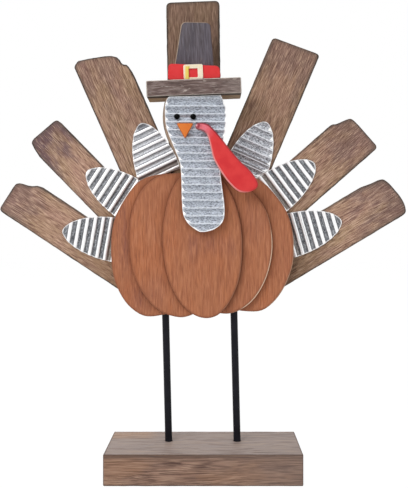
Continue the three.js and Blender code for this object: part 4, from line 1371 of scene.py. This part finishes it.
def makeBeak():
    piece = copyNode("beak", "beakTriangle")
    roundRim(piece, front, headSettings["beakRim"], 4)
    markRim(piece)
    finishPiece(piece, "beak_paint", "beakPaint", "beak")


def makeWattle():
    piece = copyNode("wattle", "wattleDrop")
    roundRim(piece, front, headSettings["wattleRim"], 6)
    roundRim(piece, -front, headSettings["wattleRearRim"], 3)
    markRim(piece)
    finishPiece(piece, "wattle_paint", "wattlePaint", "wattle")


makeHeadBoard()
makeEyes()
makeBeak()
makeWattle()
print("head ready")

hatSettings = {
    "place": (-0.0079, -0.0212, 0.3299), "roll": -2.3, "brim": (0.0814, 0.026, 0.014), "brimRim": 0.0011,
    "brimRing": 0.0014, "largeFace": 0.0001, "slice": 0.004, "sliceFrom": 0.0005, "spare": 0.002,
    "dent": 0.00016, "dentSeed": 31, "brimSeed": 4,
    "crownRim": 0.0008, "crownRing": 0.0005, "crownSeed": 6, "bandCorner": 0.0032, "bandRim": 0.0008,
    "buckleCorner": 0.0015, "buckleRim": 0.0003, "buckleWindow": 0.008,
}
hatTurn = Matrix.Rotation(math.radians(hatSettings["roll"]), 4, "Y")


def makeBrim():
    width, depth, height = hatSettings["brim"]
    place = Vector(hatSettings["place"]) + hatTurn @ Vector((0, depth / 2, height / 2))
    deselectAll()
    bpy.ops.mesh.primitive_cube_add(size=1, location=place, scale=(width, depth, height),
                                    rotation=(0, math.radians(hatSettings["roll"]), 0))
    piece = settle(freshPiece("hatBrim"))
    startEdit(piece)
    bevelPicked(hatSettings["brimRim"], 3)
    insetSides(piece, hatSettings["brimRing"], hatSettings["largeFace"], hatTurn)
    along = hatTurn @ rightward
    slicePiece(piece, place - along * width / 2, along,
               stepsFrom(hatSettings["sliceFrom"], width - hatSettings["spare"], hatSettings["slice"]))
    onRim = blockRim(place, Vector((width, depth, height)), hatSettings["brimRim"], hatTurn)
    roughen(piece, hatSettings["dent"], hatSettings["dentSeed"], onRim)
    markGrain(piece, place, along, hatSettings["brimSeed"])
    writeFloats(piece, "rim", [1.0 if onRim(vertex) else 0.0 for vertex in piece.data.vertices])
    finishPiece(piece, "hat_wood", "brimWood", "hat_brim")


def makeCrown():
    piece = copyNode("hat_crown", "hatCrown")
    for side in (front, -front):
        roundRim(piece, side, hatSettings["crownRim"], 3)
    insetFlat(piece, front, hatSettings["crownRing"])
    markGrain(piece, hatSettings["place"], hatTurn @ upward, hatSettings["crownSeed"])
    markRim(piece)
    finishPiece(piece, "hat_wood", "crownWood", "hat_crown")


def makeBand():
    piece = copyNode("hat_band", "hatBand")
    roundCorners(piece, hatSettings["bandCorner"], 5)
    roundRim(piece, front, hatSettings["bandRim"], 3)
    markRim(piece)
    finishPiece(piece, "band_paint", "bandPaint", "hat_band")


def makeBuckle():
    piece = copyNode("hat_buckle", "hatBuckle")
    for side in (front, -front):  # four faces round the window, so that each corner has its own edge
        pick(piece, "FACE", lambda face: face.normal.dot(side) > 0.9)
        bpy.ops.mesh.delete(type="FACE")
        endEdit()
    low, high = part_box("hat_buckle")
    for level in (low.y, high.y):
        near = [abs(vertex.co.y - level) < 0.0001 for vertex in piece.data.vertices]
        pick(piece, "EDGE", lambda edge: near[edge.vertices[0]] and near[edge.vertices[1]])
        bpy.ops.mesh.bridge_edge_loops()
        endEdit()
    startEdit(piece)
    bpy.ops.mesh.normals_make_consistent(inside=False)
    endEdit()
    middle = (low + high) / 2

    def isOuter(place):
        return math.hypot(place.x - middle.x, place.z - middle.z) > hatSettings["buckleWindow"]

    roundCorners(piece, hatSettings["buckleCorner"], 4, isOuter)
    roundRim(piece, front, hatSettings["buckleRim"], 2)
    markRim(piece)
    finishPiece(piece, "buckle_paint", "bucklePaint", "hat_buckle")


makeBrim()
makeCrown()
makeBand()
makeBuckle()
print("hat ready")
